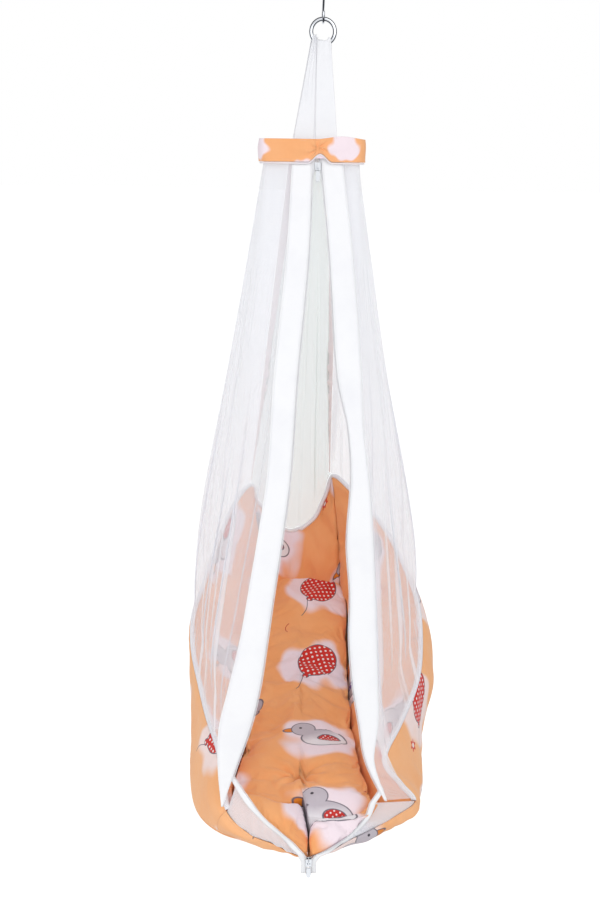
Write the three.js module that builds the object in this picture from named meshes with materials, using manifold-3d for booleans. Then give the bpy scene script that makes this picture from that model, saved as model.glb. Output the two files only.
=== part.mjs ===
// Hanging baby cradle: a padded cloth tub under a net tent, hung by two tape loops from a ring on an S-hook.
// Millimetres. x runs across the cradle, y from its foot (-) to its head (+), z up.
// The origin is the inner crown of the hook's upper bend, where the hook hangs on its support.
// Inside the tent group, z = 0 is the collar's lower edge and x = 0 the tent's own middle.

import * as THREE from 'three';
import { mergeVertices } from 'three/addons/utils/BufferGeometryUtils.js';
import Module from 'manifold-3d';

const wasm = await Module();
wasm.setup();

// Clearances
const seat = 0.3; // between pieces that touch
const panelGap = 0.7; // between neighbouring cloth panels at a seam
const bedGap = 4; // round the mattress
const paddingGap = 6; // between the padding of two walls

// Hook and ring
const hookWire = 4;
const hookBend = 18; // inner diameter of both bends
const hookLength = 48; // from inner crown to inner crown
const ringWire = 6.5;
const ringOuter = 42;

// Hanging tapes and collar
const tapeThickness = 1.6;
const tapeRise = 138; // from the collar's top edge to the middle of the ring's lowest wire
const collarWidth = 154;
const collarDepth = 130;
const collarHeight = 32;
const collarCorner = 16;
const collarCloth = 1.5;
const collarArch = 12; // rise of the lower edge over the zip
const collarPeak = 4; // rise of the upper edge beside the tapes
const frameWall = 3;
const frameHeight = 14;
const pipingSize = 2.4;
const topPanelThickness = 1.2;
const tentShift = -13.6; // the tent's middle from the ring's axis, across the cradle
const tentSetback = -36; // the same along the cradle, which brings its weight under the ring

// Tent
const tentDrop = 955; // from the collar's lower edge to the lowest part of the tub's underside
const netThickness = 0.8;
const netPleat = 5;
const netBillow = 13; // of a side net off its straight fall, fullest three quarters of the way down
const stripThickness = 1.6;
const backTapeWidth = 15;
const backTapeThickness = 1.2;
const netTuck = 8; // net behind the edge of a strip or tape

// Zip
const zipTapeWidth = 7;
const zipTapeThickness = 0.8;
const coilWidth = 2.4;
const coilThickness = 2.6;
const chainSlot = 2; // between the two coils where the slider's post runs
const chainTuck = 15; // closed chain above the collar's lower edge
const footChain = 18; // closed chain below the tip of the foot
const sliderLength = 11;
const sliderWidth = 8.4;
const sliderPlate = 1.2;
const sliderPost = 1.2;
const bailHeight = 3.2;
const bailWire = 1.2;
const pullLength = 21;
const pullWidth = 6;
const pullThickness = 1.2;
const pullWindow = 5;
const stopLength = 2.5;

// Tub
const rimHalfWidth = 205;
const footReach = 402; // from the hanging axis to the tip of the foot
const headReach = 352; // from the hanging axis to the head wall
const earHeight = 350; // of the higher head corner above the underside
const headRise = 130; // of the floor at the head
const footRise = 19; // of the floor at the foot
const coverCloth = 1.6;
const baseCloth = 2;
const leftBulge = 5;
const rightBulge = 27;
const paddingAtRim = 6;
const footPaddingPlump = 14;
const footSlack = 3; // between the foot's padding and its cover
const bindingHeight = 5;
const mattressHeight = 54;
const mattressSide = 36;
const tuftDepth = 11;
const tuftRadius = 34;

// Worked out from the sizes above
const ringRadius = (ringOuter - ringWire) / 2;
const ringCentreZ = -hookLength + seat + ringWire / 2 - ringRadius;
const collarBottomZ = ringCentreZ - ringRadius - tapeRise - collarHeight;
const ringCentre = new THREE.Vector3(-tentShift, -tentSetback, ringCentreZ - collarBottomZ);
const paddingInset = coverCloth + seat;
const liningInset = collarCloth + seat + frameWall + seat;
const floorHalfWidth = 0.927 * rimHalfWidth;

const matte = (color) => new THREE.MeshStandardMaterial({ color, roughness: 0.9, metalness: 0 });
const metal = (color) => new THREE.MeshStandardMaterial({ color, roughness: 0.3, metalness: 1 });
const materials = {
  print: matte('#f6a55f'),
  lining: matte('#f3a05c'),
  mattress: matte('#f5a765'),
  net: new THREE.MeshStandardMaterial({ color: '#f4f2fa', roughness: 0.9, transparent: true, opacity: 0.35 }),
  cotton: matte('#f7f7f9'),
  zip: matte('#e9e7ee'),
  frame: matte('#d8d4cc'),
  steel: metal('#c9ccd0'),
};

const vector = (x, y, z) => new THREE.Vector3(x, y, z);
const mix = (a, b, share) => a.clone().lerp(b, share);
const lerp = THREE.MathUtils.lerp;
const steps = (count) => Array.from({ length: count + 1 }, (_, index) => index / count);
const grid = (rows, columns, point) => steps(rows).map((row) => steps(columns).map((column) => point(row, column)));
const smooth = (share) => THREE.MathUtils.smoothstep(share, 0, 1);

// A closed, outward-facing geometry from points and triangles; triangles of no width are dropped.
function closedGeometry(points, triangles) {
  const raw = new THREE.BufferGeometry().setFromPoints(points);
  raw.setIndex(triangles.flat());
  const merged = mergeVertices(raw, 1e-4);
  const index = Array.from(merged.index.array);
  const position = merged.attributes.position;
  const kept = [];
  let volume = 0;
  for (let i = 0; i < index.length; i += 3) {
    const [a, b, c] = index.slice(i, i + 3);
    if (a === b || b === c || c === a) continue;
    kept.push([a, b, c]);
    const corner = (k) => new THREE.Vector3().fromBufferAttribute(position, k);
    volume += corner(a).dot(corner(b).cross(corner(c)));
  }
  merged.setIndex(kept.flatMap(([a, b, c]) => (volume > 0 ? [a, b, c] : [a, c, b])));
  merged.computeVertexNormals();
  return merged;
}

// The solid between two grids of points with the same rows and columns; a ring joins its last row to its first.
function slab(outer, inner, ring = false) {
  const rows = outer.length;
  const columns = outer[0].length;
  const at = (layer, i, j) => (layer * rows + (i % rows)) * columns + j;
  const triangles = [];
  const quad = (a, b, c, d) => triangles.push([a, b, c], [a, c, d]);
  const lastRow = rows - 1;
  const last = columns - 1;
  for (let i = 0; i < (ring ? rows : lastRow); i += 1) {
    for (let j = 0; j < last; j += 1) {
      quad(at(0, i, j), at(0, i + 1, j), at(0, i + 1, j + 1), at(0, i, j + 1));
      quad(at(1, i, j), at(1, i, j + 1), at(1, i + 1, j + 1), at(1, i + 1, j));
    }
    quad(at(0, i, 0), at(1, i, 0), at(1, i + 1, 0), at(0, i + 1, 0));
    quad(at(0, i, last), at(0, i + 1, last), at(1, i + 1, last), at(1, i, last));
  }
  for (let j = 0; !ring && j < last; j += 1) {
    quad(at(0, 0, j), at(0, 0, j + 1), at(1, 0, j + 1), at(1, 0, j));
    quad(at(0, lastRow, j + 1), at(0, lastRow, j), at(1, lastRow, j), at(1, lastRow, j + 1));
  }
  return closedGeometry([...outer.flat(), ...inner.flat()], triangles);
}

// A patch between four edge curves: foot and head run with c, left and right with r. The ease says how far from the
// left edge its curve still pulls the patch.
function coons(foot, head, left, right, ease = (c) => c) {
  return (r, c) => {
    const along = mix(foot(c), head(c), r);
    const eased = ease(c);
    const across = mix(left(r), right(r), eased);
    const corners = mix(mix(foot(0), foot(1), eased), mix(head(0), head(1), eased), r);
    return along.add(across).sub(corners);
  };
}

// The unit normal of a patch by small differences.
function patchNormal(patch, r, c) {
  const step = 0.004;
  const alongRow = patch(r + step, c).sub(patch(r - step, c));
  const alongColumn = patch(r, c + step).sub(patch(r, c - step));
  return alongRow.cross(alongColumn).normalize();
}

function smoothCurve(points) {
  const curve = new THREE.CatmullRomCurve3(points, false, 'catmullrom', 0.5);
  const spans = points.length - 1;
  return (place) => curve.getPoint(THREE.MathUtils.clamp(place / spans, 0, 1));
}

// Reads a table of [place, value, ...] rows, smoothly between its rows.
function tableReader(table) {
  return (place, column) => {
    const row = table.findIndex((entry, index) => index > 0 && place <= entry[0]);
    const upper = row < 0 ? table.length - 1 : row;
    const [a, b] = [table[upper - 1], table[upper]];
    const before = table[upper - 2] ?? a;
    const after = table[upper + 1] ?? b;
    const width = b[0] - a[0];
    const share = THREE.MathUtils.clamp((place - a[0]) / width, 0, 1);
    const slopeA = (b[column] - before[column]) / (b[0] - before[0]) * width;
    const slopeB = (after[column] - a[column]) / (after[0] - a[0]) * width;
    const cubed = share ** 3;
    const squared = share ** 2;
    return a[column] * (2 * cubed - 3 * squared + 1) + slopeA * (cubed - 2 * squared + share)
      + b[column] * (3 * squared - 2 * cubed) + slopeB * (cubed - squared);
  };
}

// Tub: stations round its wall, from the tip of the foot by the left side, the head and the right side back.
// Each row is the rim's x, y, height, the floor edge's x, y and the mattress edge's x, y,
// as shares of the rim's half width, the reach, the ear height, the floor's half width and the reach.
const wallShares = [
  [-0.035, -0.98, 0.063, -0.04, -0.952, -0.045, -0.74],
  [-0.145, -0.968, 0.078, -0.175, -0.9, -0.165, -0.74],
  [-0.275, -0.945, 0.103, -0.358, -0.876, -0.29, -0.74],
  [-0.44, -0.9, 0.114, -0.538, -0.838, -0.415, -0.74],
  [-0.605, -0.84, 0.178, -0.71, -0.785, -0.56, -0.738],
  [-0.655, -0.722, 0.274, -0.86, -0.69, -0.58, -0.65],
  [-0.712, -0.585, 0.302, -0.95, -0.56, -0.565, -0.51],
  [-0.8, -0.398, 0.306, -1.0, -0.373, -0.53, -0.323],
  [-0.888, -0.187, 0.335, -1.01, -0.187, -0.5, -0.15],
  [-0.975, 0.028, 0.397, -0.995, 0.014, -0.485, 0.028],
  [-0.995, 0.227, 0.483, -0.974, 0.227, -0.48, 0.213],
  [-0.941, 0.426, 0.545, -0.932, 0.412, -0.48, 0.384],
  [-0.839, 0.611, 0.691, -0.842, 0.582, -0.47, 0.54],
  [-0.688, 0.81, 0.866, -0.695, 0.795, -0.445, 0.7],
  [-0.522, 0.985, 0.94, -0.537, 0.945, -0.375, 0.83],
  [-0.415, 1.003, 0.815, -0.368, 0.974, -0.25, 0.865],
  [-0.146, 0.997, 0.665, -0.158, 0.989, -0.095, 0.878],
  [0.088, 0.994, 0.731, 0.158, 0.989, 0.08, 0.878],
  [0.2, 1, 0.853, 0.368, 0.974, 0.235, 0.865],
  [0.305, 0.99, 1, 0.526, 0.945, 0.365, 0.83],
  [0.478, 0.852, 0.96, 0.684, 0.795, 0.425, 0.7],
  [0.756, 0.659, 0.814, 0.832, 0.602, 0.425, 0.568],
  [0.927, 0.483, 0.663, 0.926, 0.426, 0.412, 0.426],
  [1.015, 0.256, 0.537, 1.01, 0.227, 0.39, 0.227],
  [0.99, 0, 0.408, 1.04, -0.012, 0.372, 0.014],
  [0.902, -0.199, 0.335, 1.02, -0.199, 0.37, -0.174],
  [0.722, -0.423, 0.28, 0.984, -0.373, 0.382, -0.36],
  [0.575, -0.59, 0.229, 0.947, -0.493, 0.4, -0.51],
  [0.68, -0.652, 0.16, 0.884, -0.592, 0.42, -0.61],
  [0.77, -0.704, 0.108, 0.779, -0.677, 0.43, -0.7],
  [0.59, -0.808, 0.114, 0.6, -0.776, 0.42, -0.785],
  [0.41, -0.883, 0.114, 0.442, -0.826, 0.345, -0.832],
  [0.268, -0.938, 0.117, 0.274, -0.871, 0.225, -0.848],
  [0.107, -0.968, 0.083, 0.126, -0.9, 0.085, -0.852],
  [-0.028, -0.98, 0.063, -0.028, -0.952, -0.022, -0.852],
];
const sideCount = { left: 20, right: 24 };
const headCount = 12;
const footCount = { left: 8, right: 9 };
const leftCorner = 4;
const leftEar = 14;
const headSeam = { left: 16, right: 17 };
const rightEar = 19;
const rightCorner = 29;
const lastStation = wallShares.length - 1;
const bulgeShares = [
  [0, 0], [leftCorner, 0.6], [9, 1], [leftEar, 0.8], [rightEar, 0.8],
  [21, 0.35], [22.5, 1], [24, 0.75], [25, 0.05], [rightCorner, 0.2], [lastStation, 0],
];
const footTurn = 0.4; // of the foot zip's length, by which it has turned to face the rim
const footFade = 0.6; // from which it turns to run down the tip
const footSeamRise = 0.86; // of the foot cover's height, where the net is sewn behind it
const footNetFrom = 0.1; // of the foot zip's length
const footNetTo = 0.9;
const footRimDown = 0.75; // of the net band's height
const footNetTop = 0.08; // of the net band's height
const footPaddingTop = 0.16;
const flatFromShare = -0.3;
const wallRowCount = 4;

const reach = (share) => share * (share < 0 ? footReach : headReach);

// Height of the floor's underside over its lowest part, flat in the middle and rising to both ends.
function undersideHeight(y) {
  const flatFrom = flatFromShare * footReach;
  const share = y > flatFrom ? (y - flatFrom) / (headReach - flatFrom) : (flatFrom - y) / (footReach + flatFrom);
  return (y > flatFrom ? headRise : footRise) * share ** 2;
}

const floorZ = (y, layer) => undersideHeight(y) + layer - tentDrop;
const baseTop = baseCloth + 2 * seat;
const bedBottom = baseTop + seat;

const rimAt = smoothCurve(wallShares.map(([x, y, height]) => (
  vector(x * rimHalfWidth, reach(y), height * earHeight - tentDrop))));
const floorEdgeAt = smoothCurve(wallShares.map(([, , , x, y]) => (
  vector(x * floorHalfWidth, reach(y), floorZ(reach(y), baseTop)))));
const bedEdgeAt = smoothCurve(wallShares.map(([, , , , , x, y]) => vector(x * rimHalfWidth, reach(y), 0)));
const readBulge = tableReader(bulgeShares);

function wallOutward(station) {
  const step = 0.02;
  const middle = (place) => rimAt(place).add(floorEdgeAt(place));
  const tangent = middle(station + step).sub(middle(station - step));
  return vector(-tangent.y, tangent.x, 0).normalize();
}

function wallAt(station, rise) {
  const depth = station > (leftEar + rightEar) / 2 ? rightBulge : leftBulge;
  const bulge = readBulge(station, 1) * depth * 4 * rise * (1 - rise);
  return mix(floorEdgeAt(station), rimAt(station), rise).addScaledVector(wallOutward(station), bulge);
}

function wallNormal(station, rise) {
  const step = 0.01;
  const low = Math.max(station - step, 0);
  const high = Math.min(station + step, lastStation);
  const along = wallAt(high, rise).sub(wallAt(low, rise));
  const up = wallAt(station, rise + step).sub(wallAt(station, rise - step));
  return up.cross(along).normalize();
}

// A point of the wall, set in by a depth and kept above the base cloth.
function wallInset(station, rise, depth) {
  const point = wallAt(station, rise).addScaledVector(wallNormal(station, rise), -depth);
  point.z = Math.max(point.z, floorZ(point.y, baseTop));
  return point;
}

// The direction off the rim, square to its line and to the wall's normal.
function rimUp(station) {
  const step = 0.01;
  const low = Math.max(station - step, 0);
  const high = Math.min(station + step, lastStation);
  return rimAt(high).sub(rimAt(low)).cross(wallNormal(station, 1)).normalize();
}

// Stations of a panel between two seams, short of each by half the seam's gap.
function panelStations(from, to, gap = panelGap) {
  const speed = (place) => Math.min(
    rimAt(place + 0.05).distanceTo(rimAt(place - 0.05)),
    floorEdgeAt(place + 0.05).distanceTo(floorEdgeAt(place - 0.05)),
  ) * 10;
  const first = from + gap / 2 / speed(Math.max(from, 0.06));
  const final = to - gap / 2 / speed(Math.min(to, lastStation - 0.06));
  return (share) => lerp(first, final, share);
}

function wallCover(from, to, count) {
  const station = panelStations(from, to);
  const rows = wallRowCount;
  return slab(
    grid(count, rows, (share, rise) => wallInset(station(share), rise, 0)),
    grid(count, rows, (share, rise) => wallInset(station(share), rise, coverCloth)),
  );
}

// The padding's inner face: upright beside the mattress, then leaning out to the rim.
function paddingFace(station, rise) {
  const kerb = bedEdgeAt(station);
  const rim = wallInset(station, 1, paddingInset + paddingAtRim);
  const kerbShare = 0.28;
  const lean = Math.max(0, (rise - kerbShare) / (1 - kerbShare)) ** 1.3;
  const point = mix(kerb, vector(rim.x, rim.y, 0), lean);
  point.z = lerp(floorZ(kerb.y, baseTop), rim.z, rise);
  return point;
}

function wallPadding(from, to, count) {
  const station = panelStations(from, to);
  const innerStation = panelStations(from, to, paddingGap);
  const rows = wallRowCount;
  return slab(
    grid(count, rows, (share, rise) => wallInset(station(share), rise, paddingInset)),
    grid(count, rows, (share, rise) => paddingFace(lerp(innerStation(share), station(share), rise ** 8), rise)),
  );
}

// Front strips: rows of place down the strip and the inner and outer edges' x, as shares of the rim's half width.
const leftStripShares = [
  [0, -0.015, -0.16], [0.15, -0.04, -0.2], [0.34, -0.117, -0.285], [0.42, -0.14, -0.305], [0.5, -0.166, -0.332],
  [0.6, -0.224, -0.4], [0.68, -0.278, -0.46], [0.75, -0.322, -0.515], [0.82, -0.37, -0.59], [0.88, -0.434, -0.655],
  [0.94, -0.53, -0.66], [1, -0.622, -0.634],
];
const rightStripShares = [
  [0, 0.05, 0.205], [0.15, 0.112, 0.278], [0.34, 0.17, 0.341], [0.42, 0.245, 0.353], [0.5, 0.268, 0.392],
  [0.6, 0.24, 0.424], [0.68, 0.263, 0.439], [0.75, 0.258, 0.45], [0.82, 0.283, 0.459], [0.88, 0.327, 0.463],
  [0.94, 0.376, 0.435], [1, 0.505, 0.525],
];
const stripTopZ = collarHeight * 0.62;
const stripFrontY = -collarDepth / 2 + liningInset + seat;
const leftStripDrop = tentDrop - 0.199 * earHeight;
const rightStripDrop = tentDrop - 0.216 * earHeight;
const stripLean = (0.8436 * footReach + stripFrontY) / leftStripDrop; // forward for each millimetre down
const stripBack = vector(0, 1, -stripLean).normalize();

function stripEdge(table, drop, place, column) {
  const z = lerp(0, -drop, place);
  return vector(tableReader(table)(place, column) * rimHalfWidth, stripFrontY + stripLean * z, z);
}

const sides = {
  left: { sign: -1, table: leftStripShares, drop: leftStripDrop, corner: leftCorner, zipLeave: 0.955 },
  right: { sign: 1, table: rightStripShares, drop: rightStripDrop, corner: rightCorner, zipLeave: 0.985 },
};

// A point of a strip: place 0 at the collar's lower edge, a little above it inside the collar.
function stripPoint(side, place, column) {
  const point = stripEdge(side.table, side.drop, Math.max(place, 0), column);
  point.z -= Math.min(place, 0) * side.drop;
  point.y -= Math.min(place, 0) * side.drop * stripLean;
  return point;
}

const stripPlaces = steps(24);

function frontStrip(side) {
  const places = [-stripTopZ / side.drop, ...stripPlaces];
  const layer = (depth) => places.map((place) => [1, 2].map((column) => (
    stripPoint(side, place, column).addScaledVector(stripBack, depth))));
  return slab(layer(0), layer(stripThickness));
}

// Foot zip lines: x, y and height, as shares of the rim's half width, the reach and the ear height.
const footZipShares = {
  left: [
    [-0.525, -0.815, 0.289], [-0.44, -0.87, 0.246], [-0.35, -0.915, 0.203], [-0.245, -0.955, 0.171],
    [-0.15, -0.985, 0.14], [-0.075, -1, 0.103],
  ],
  right: [
    [0.41, -0.838, 0.203], [0.37, -0.885, 0.173], [0.3, -0.925, 0.149], [0.225, -0.955, 0.13],
    [0.11, -0.988, 0.108], [0.02, -1, 0.095],
  ],
};
const chainX = 0.024 * rimHalfWidth;
const footChainX = -0.032 * rimHalfWidth;
const footChainY = -footReach - seat;
const footChainTopZ = 0.067 * earHeight - tentDrop;
const coilReach = coilWidth + seat;
const zipLayer = stripThickness + seat;
const netLayer = zipLayer + zipTapeThickness + 4 * seat;
const closedPathX = (side, middle) => middle + side.sign * (chainSlot / 2 + coilReach);

const footZipPoints = (name) => footZipShares[name].map(([x, y, height]) => (
  vector(x * rimHalfWidth, reach(y), height * earHeight - tentDrop)));

// The foot rim that faces a place on the foot zip line, 0 at the corner and 1 at the tip.
const footRimStation = (side, share) => (
  side.sign < 0 ? lerp(leftCorner, 0, share) : lerp(rightCorner, lastStation, share));

// A place on the foot's zip line, 0 where it leaves the strip and 1 at the tip, with its directions across and back.
function footFrame(name) {
  const side = sides[name];
  const zipLine = smoothCurve(footZipPoints(name));
  const count = footZipShares[name].length - 1;
  const step = 0.01;
  const across = vector(side.sign, 0, 0);
  return (along) => {
    const point = zipLine(along * count);
    const run = zipLine((along + step) * count).sub(zipLine((along - step) * count));
    const width = rimAt(footRimStation(side, along)).sub(point).normalize();
    const back = run.cross(width).multiplyScalar(-side.sign).normalize();
    const turn = smooth(along / footTurn);
    const fade = smooth((along - footFade) / (1 - footFade));
    return {
      point,
      width: mix(mix(across, width, turn), across, fade).normalize(),
      back: mix(mix(stripBack, back, turn), vector(0, 1, 0), fade).normalize(),
    };
  };
}

// The zip's path from the collar to the foot's tip.
function zipRows(name) {
  const side = sides[name];
  const across = vector(side.sign, 0, 0);
  const closed = [-chainTuck / side.drop, 0, sliderLength / 2 / side.drop, sliderLength / side.drop];
  const onStrip = stripPlaces.filter((place) => place > 2 * sliderLength / side.drop && place < side.zipLeave);
  const upper = [...closed, ...onStrip].map((place) => {
    const point = stripPoint(side, place, 1);
    const opened = smooth(place * side.drop / (sliderLength * 2));
    point.x = lerp(closedPathX(side, chainX), point.x, opened);
    return { point, width: across, back: stripBack };
  });
  const frame = footFrame(name);
  const foot = steps(10).map(frame);
  const lower = steps(3).map((share) => ({
    point: vector(closedPathX(side, footChainX), footChainY, footChainTopZ - share * footChain),
    width: across,
    back: vector(0, 1, 0),
  }));
  return [...upper, ...foot, ...lower];
}

function zipHalf(name) {
  const coilMiddle = zipTapeThickness / 2;
  const coilFace = coilThickness / 2;
  const profile = [
    [-coilReach, coilMiddle - coilFace * 0.4, coilMiddle + coilFace * 0.4],
    [-coilReach + coilWidth * 0.3, coilMiddle - coilFace, coilMiddle + coilFace],
    [-coilReach + coilWidth * 0.75, coilMiddle - coilFace, coilMiddle + coilFace],
    [-seat, 0, zipTapeThickness],
    [zipTapeWidth, 0, zipTapeThickness],
  ];
  const rows = zipRows(name);
  const layer = (column) => rows.map(({ point, width, back }) => profile.map((corner) => (
    point.clone().addScaledVector(width, corner[0]).addScaledVector(back, zipLayer + corner[column]))));
  return slab(layer(1), layer(2));
}

// Nets: the tent's sides, from a strip's outer edge round to the back tape, and its back.
const earStation = { left: leftEar, right: rightEar };
const netRows = 14;
const netTurn = 1 - 1 / netRows; // of the net's height, from which it runs on below a tape's or strip's end
const netBesideTape = 3 * seat;
const backTapeTaper = 0.15; // of its width, left at the ear
const backTapeTopShare = { left: -0.36, right: 0.46 }; // of the collar's half width
const netTopZ = collarHeight * 0.25;
const backLean = (headReach - collarDepth / 2) / (tentDrop - earHeight);
const sideLean = (rimHalfWidth - collarWidth / 2) / tentDrop * 1.6;
const netClearance = (lean) => pipingSize + 3 * seat + netThickness + lean * (netTopZ + 2 * pipingSize);

// The collar's outline, set in by a depth: nine runs, straight and round by turns, from the middle of its back.
function collarRuns(inset) {
  const radius = Math.max(collarCorner - inset, netThickness);
  const straightX = collarWidth / 2 - inset - radius;
  const straightY = collarDepth / 2 - inset - radius;
  const corner = radius * Math.PI / 2;
  const lengths = [straightX, corner, 2 * straightY, corner, 2 * straightX, corner, 2 * straightY, corner, straightX];
  return { radius, straightX, straightY, lengths };
}

function collarPoint(inset, run, share) {
  const { radius, straightX, straightY } = collarRuns(inset);
  const arc = (x, y, start) => {
    const turn = start + Math.PI / 2 * (1 - share);
    return vector(x + radius * Math.cos(turn), y + radius * Math.sin(turn), 0);
  };
  const edgeX = straightX + radius;
  const edgeY = straightY + radius;
  const places = [
    () => vector(straightX * share, edgeY, 0),
    () => arc(straightX, straightY, 0),
    () => vector(edgeX, lerp(straightY, -straightY, share), 0),
    () => arc(straightX, -straightY, -Math.PI / 2),
    () => vector(lerp(straightX, -straightX, share), -edgeY, 0),
    () => arc(-straightX, -straightY, -Math.PI),
    () => vector(-edgeX, lerp(-straightY, straightY, share), 0),
    () => arc(-straightX, straightY, -Math.PI * 1.5),
    () => vector(-straightX * (1 - share), edgeY, 0),
  ];
  return places[run]();
}

// The same outline by length: places 0 to 4 go once round.
function collarOutline(inset, place) {
  const { lengths } = collarRuns(inset);
  const total = lengths.reduce((sum, length) => sum + length, 0);
  let rest = THREE.MathUtils.euclideanModulo(place / 4, 1) * total;
  let run = 0;
  while (run < lengths.length - 1 && rest > lengths[run]) {
    rest -= lengths[run];
    run += 1;
  }
  return collarPoint(inset, run, Math.min(rest / lengths[run], 1));
}

const collarShift = -0.02 * collarWidth;

// The place round the inset collar outline whose x is given, on its front or back run.
function collarPlace(inset, x, front) {
  let [low, high] = front ? [1.2, 2.8] : [-0.8, 0.8];
  const rising = !front;
  for (let round = 0; round < 40; round += 1) {
    const middle = (low + high) / 2;
    const below = collarOutline(inset, middle).x + collarShift < x;
    if (below === rising) low = middle;
    else high = middle;
  }
  return low;
}

function earTip(name) {
  const station = earStation[name];
  const tip = wallAt(station, 1).addScaledVector(rimUp(station), bindingHeight + backTapeWidth / 2);
  return tip.addScaledVector(wallNormal(station, 1), -paddingAtRim / 2);
}

// A back tape's middle line from inside the collar to the ear, its direction across and its way out of the tent.
function backTape(name) {
  const { sign } = sides[name];
  const top = vector(
    backTapeTopShare[name] * collarWidth / 2, collarDepth / 2 - netClearance(backLean) - backTapeWidth / 4, netTopZ);
  const tip = earTip(name);
  const run = tip.clone().sub(top);
  const outward = vector(sign * 0.45, 1, 0).normalize();
  const across = run.clone().cross(outward).normalize().multiplyScalar(sign);
  const out = across.clone().cross(run).normalize().multiplyScalar(sign);
  if (out.dot(outward) < 0) out.negate();
  if (across.x * sign < 0) across.negate();
  const direction = (place, edge, beside, depth) => {
    const width = backTapeWidth * lerp(1, backTapeTaper, smooth(place));
    const aside = edge * (width / 2 + beside);
    return mix(top, tip, place).addScaledVector(across, aside).addScaledVector(out, -depth);
  };
  return direction;
}

function backTapeGeometry(name) {
  const point = backTape(name);
  return slab(
    grid(12, 2, (place, share) => point(place, 2 * share - 1, 0, 0)),
    grid(12, 2, (place, share) => point(place, 2 * share - 1, 0, backTapeThickness)),
  );
}

// The net's lower edge stands on the binding.
function netFoot(station) {
  const lift = bindingHeight + 3 * seat;
  const inset = coverCloth;
  return wallInset(station, 1, inset).addScaledVector(rimUp(station), lift);
}

// A net's solid: pleats that fade towards its edges, and a thickness that lies in the rim's plane along its foot.
function netSolid(patch, station, columns, pleats, side, billow = 0) {
  const face = (depth) => (r, c) => {
    const normal = patchNormal(patch, r, c).multiplyScalar(side);
    const fold = netPleat * Math.sin(2 * Math.PI * pleats * c) * Math.sin(Math.PI * r) ** 0.8 * Math.sin(Math.PI * c);
    const swell = billow * Math.sin(Math.PI * Math.min(1, r / netTurn) ** 3) * Math.sin(Math.PI * c);
    const off = fold + swell - depth;
    const atFoot = Math.max(0, (r - netTurn) / (1 - netTurn));
    const inward = wallNormal(station(c), 1).negate();
    return patch(r, c).addScaledVector(normal, off * (1 - atFoot)).addScaledVector(inward, depth * atFoot);
  };
  return slab(grid(netRows, columns, face(0)), grid(netRows, columns, face(netThickness)));
}

function sideNet(name) {
  const side = sides[name];
  const { sign } = side;
  const seam = side.corner < earStation[name] ? panelStations(side.corner, earStation[name])
    : panelStations(earStation[name], side.corner);
  const station = (share) => seam(sign < 0 ? share : 1 - share);
  const tape = backTape(name);
  const front = (r) => {
    const place = Math.min(r / netTurn, 1);
    const topPlace = lerp(-netTopZ / side.drop, 1, place);
    const edge = stripPoint(side, topPlace, 2);
    const width = Math.abs(edge.x - stripPoint(side, topPlace, 1).x);
    edge.x -= sign * Math.min(netTuck, width * 0.22);
    edge.addScaledVector(stripBack, netLayer);
    return mix(edge, netFoot(station(0)), Math.max(0, (r - netTurn) / (1 - netTurn)));
  };
  const back = (r) => {
    const point = tape(Math.min(r / netTurn, 1), 1, netBesideTape, backTapeThickness / 2);
    return mix(point, netFoot(station(1)), Math.max(0, (r - netTurn) / (1 - netTurn)));
  };
  const topStart = front(0);
  const topEnd = back(0);
  const inset = netClearance(sideLean);
  const startPlace = collarPlace(inset, topStart.x, true);
  const endPlace = collarPlace(inset, topEnd.x, false);
  const wrapped = sign > 0 ? endPlace : endPlace + 4;
  const top = (c) => {
    const point = collarOutline(inset, lerp(startPlace, wrapped, c));
    const squeeze = (point.y < 0 ? -topStart.y : topEnd.y) / (collarDepth / 2 - inset);
    point.x += collarShift;
    point.y *= squeeze;
    const start = mix(topStart, point, smooth(Math.min(1, c * 6)));
    const both = mix(start, topEnd, smooth(Math.max(0, c * 6 - 5)));
    return both.setZ(lerp(topStart.z, topEnd.z, c));
  };
  const foot = (c) => netFoot(station(c));
  const taut = (c) => 1 - (1 - c) ** 3; // beside the strip the net soon hangs straight from the collar to the rim
  return netSolid(coons(top, foot, front, back, taut), station, sideCount[name], 5, sign, netBillow);
}

function backNet() {
  const [left, right] = [backTape('left'), backTape('right')];
  const station = panelStations(leftEar, rightEar);
  const edge = (tape, end) => (r) => {
    const point = tape(Math.min(r / netTurn, 1), -1, netBesideTape, backTapeThickness / 2);
    return mix(point, netFoot(station(end)), Math.max(0, (r - netTurn) / (1 - netTurn)));
  };
  const [leftEdge, rightEdge] = [edge(left, 0), edge(right, 1)];
  const top = (c) => mix(leftEdge(0), rightEdge(0), c);
  const foot = (c) => netFoot(station(c));
  return netSolid(coons(top, foot, leftEdge, rightEdge), station, headCount, 2, -1);
}

// The surface from the foot's zip (down 0) over the rim to behind the foot cover (down 1), set in by a depth.
function footBand(name) {
  const side = sides[name];
  const frame = footFrame(name);
  return (along, down, depth) => {
    const station = footRimStation(side, along);
    const { point, back } = frame(along);
    const high = point.addScaledVector(back, netLayer);
    const behind = coverCloth + 5 * seat;
    const rim = wallInset(station, 1, behind).addScaledVector(rimUp(station), seat);
    const low = wallInset(station, footSeamRise, behind);
    const onBand = down < footRimDown ? mix(high, rim, down / footRimDown)
      : mix(rim, low, (down - footRimDown) / (1 - footRimDown));
    return onBand.addScaledVector(back, depth);
  };
}

function footNet(name) {
  const band = footBand(name);
  const downs = [footNetTop, footRimDown / 2, footRimDown, 1];
  const layer = (depth) => steps(10).map((share) => downs.map((down) => (
    band(lerp(footNetFrom, footNetTo, share), down, depth))));
  return slab(layer(0), layer(netThickness));
}

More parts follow.
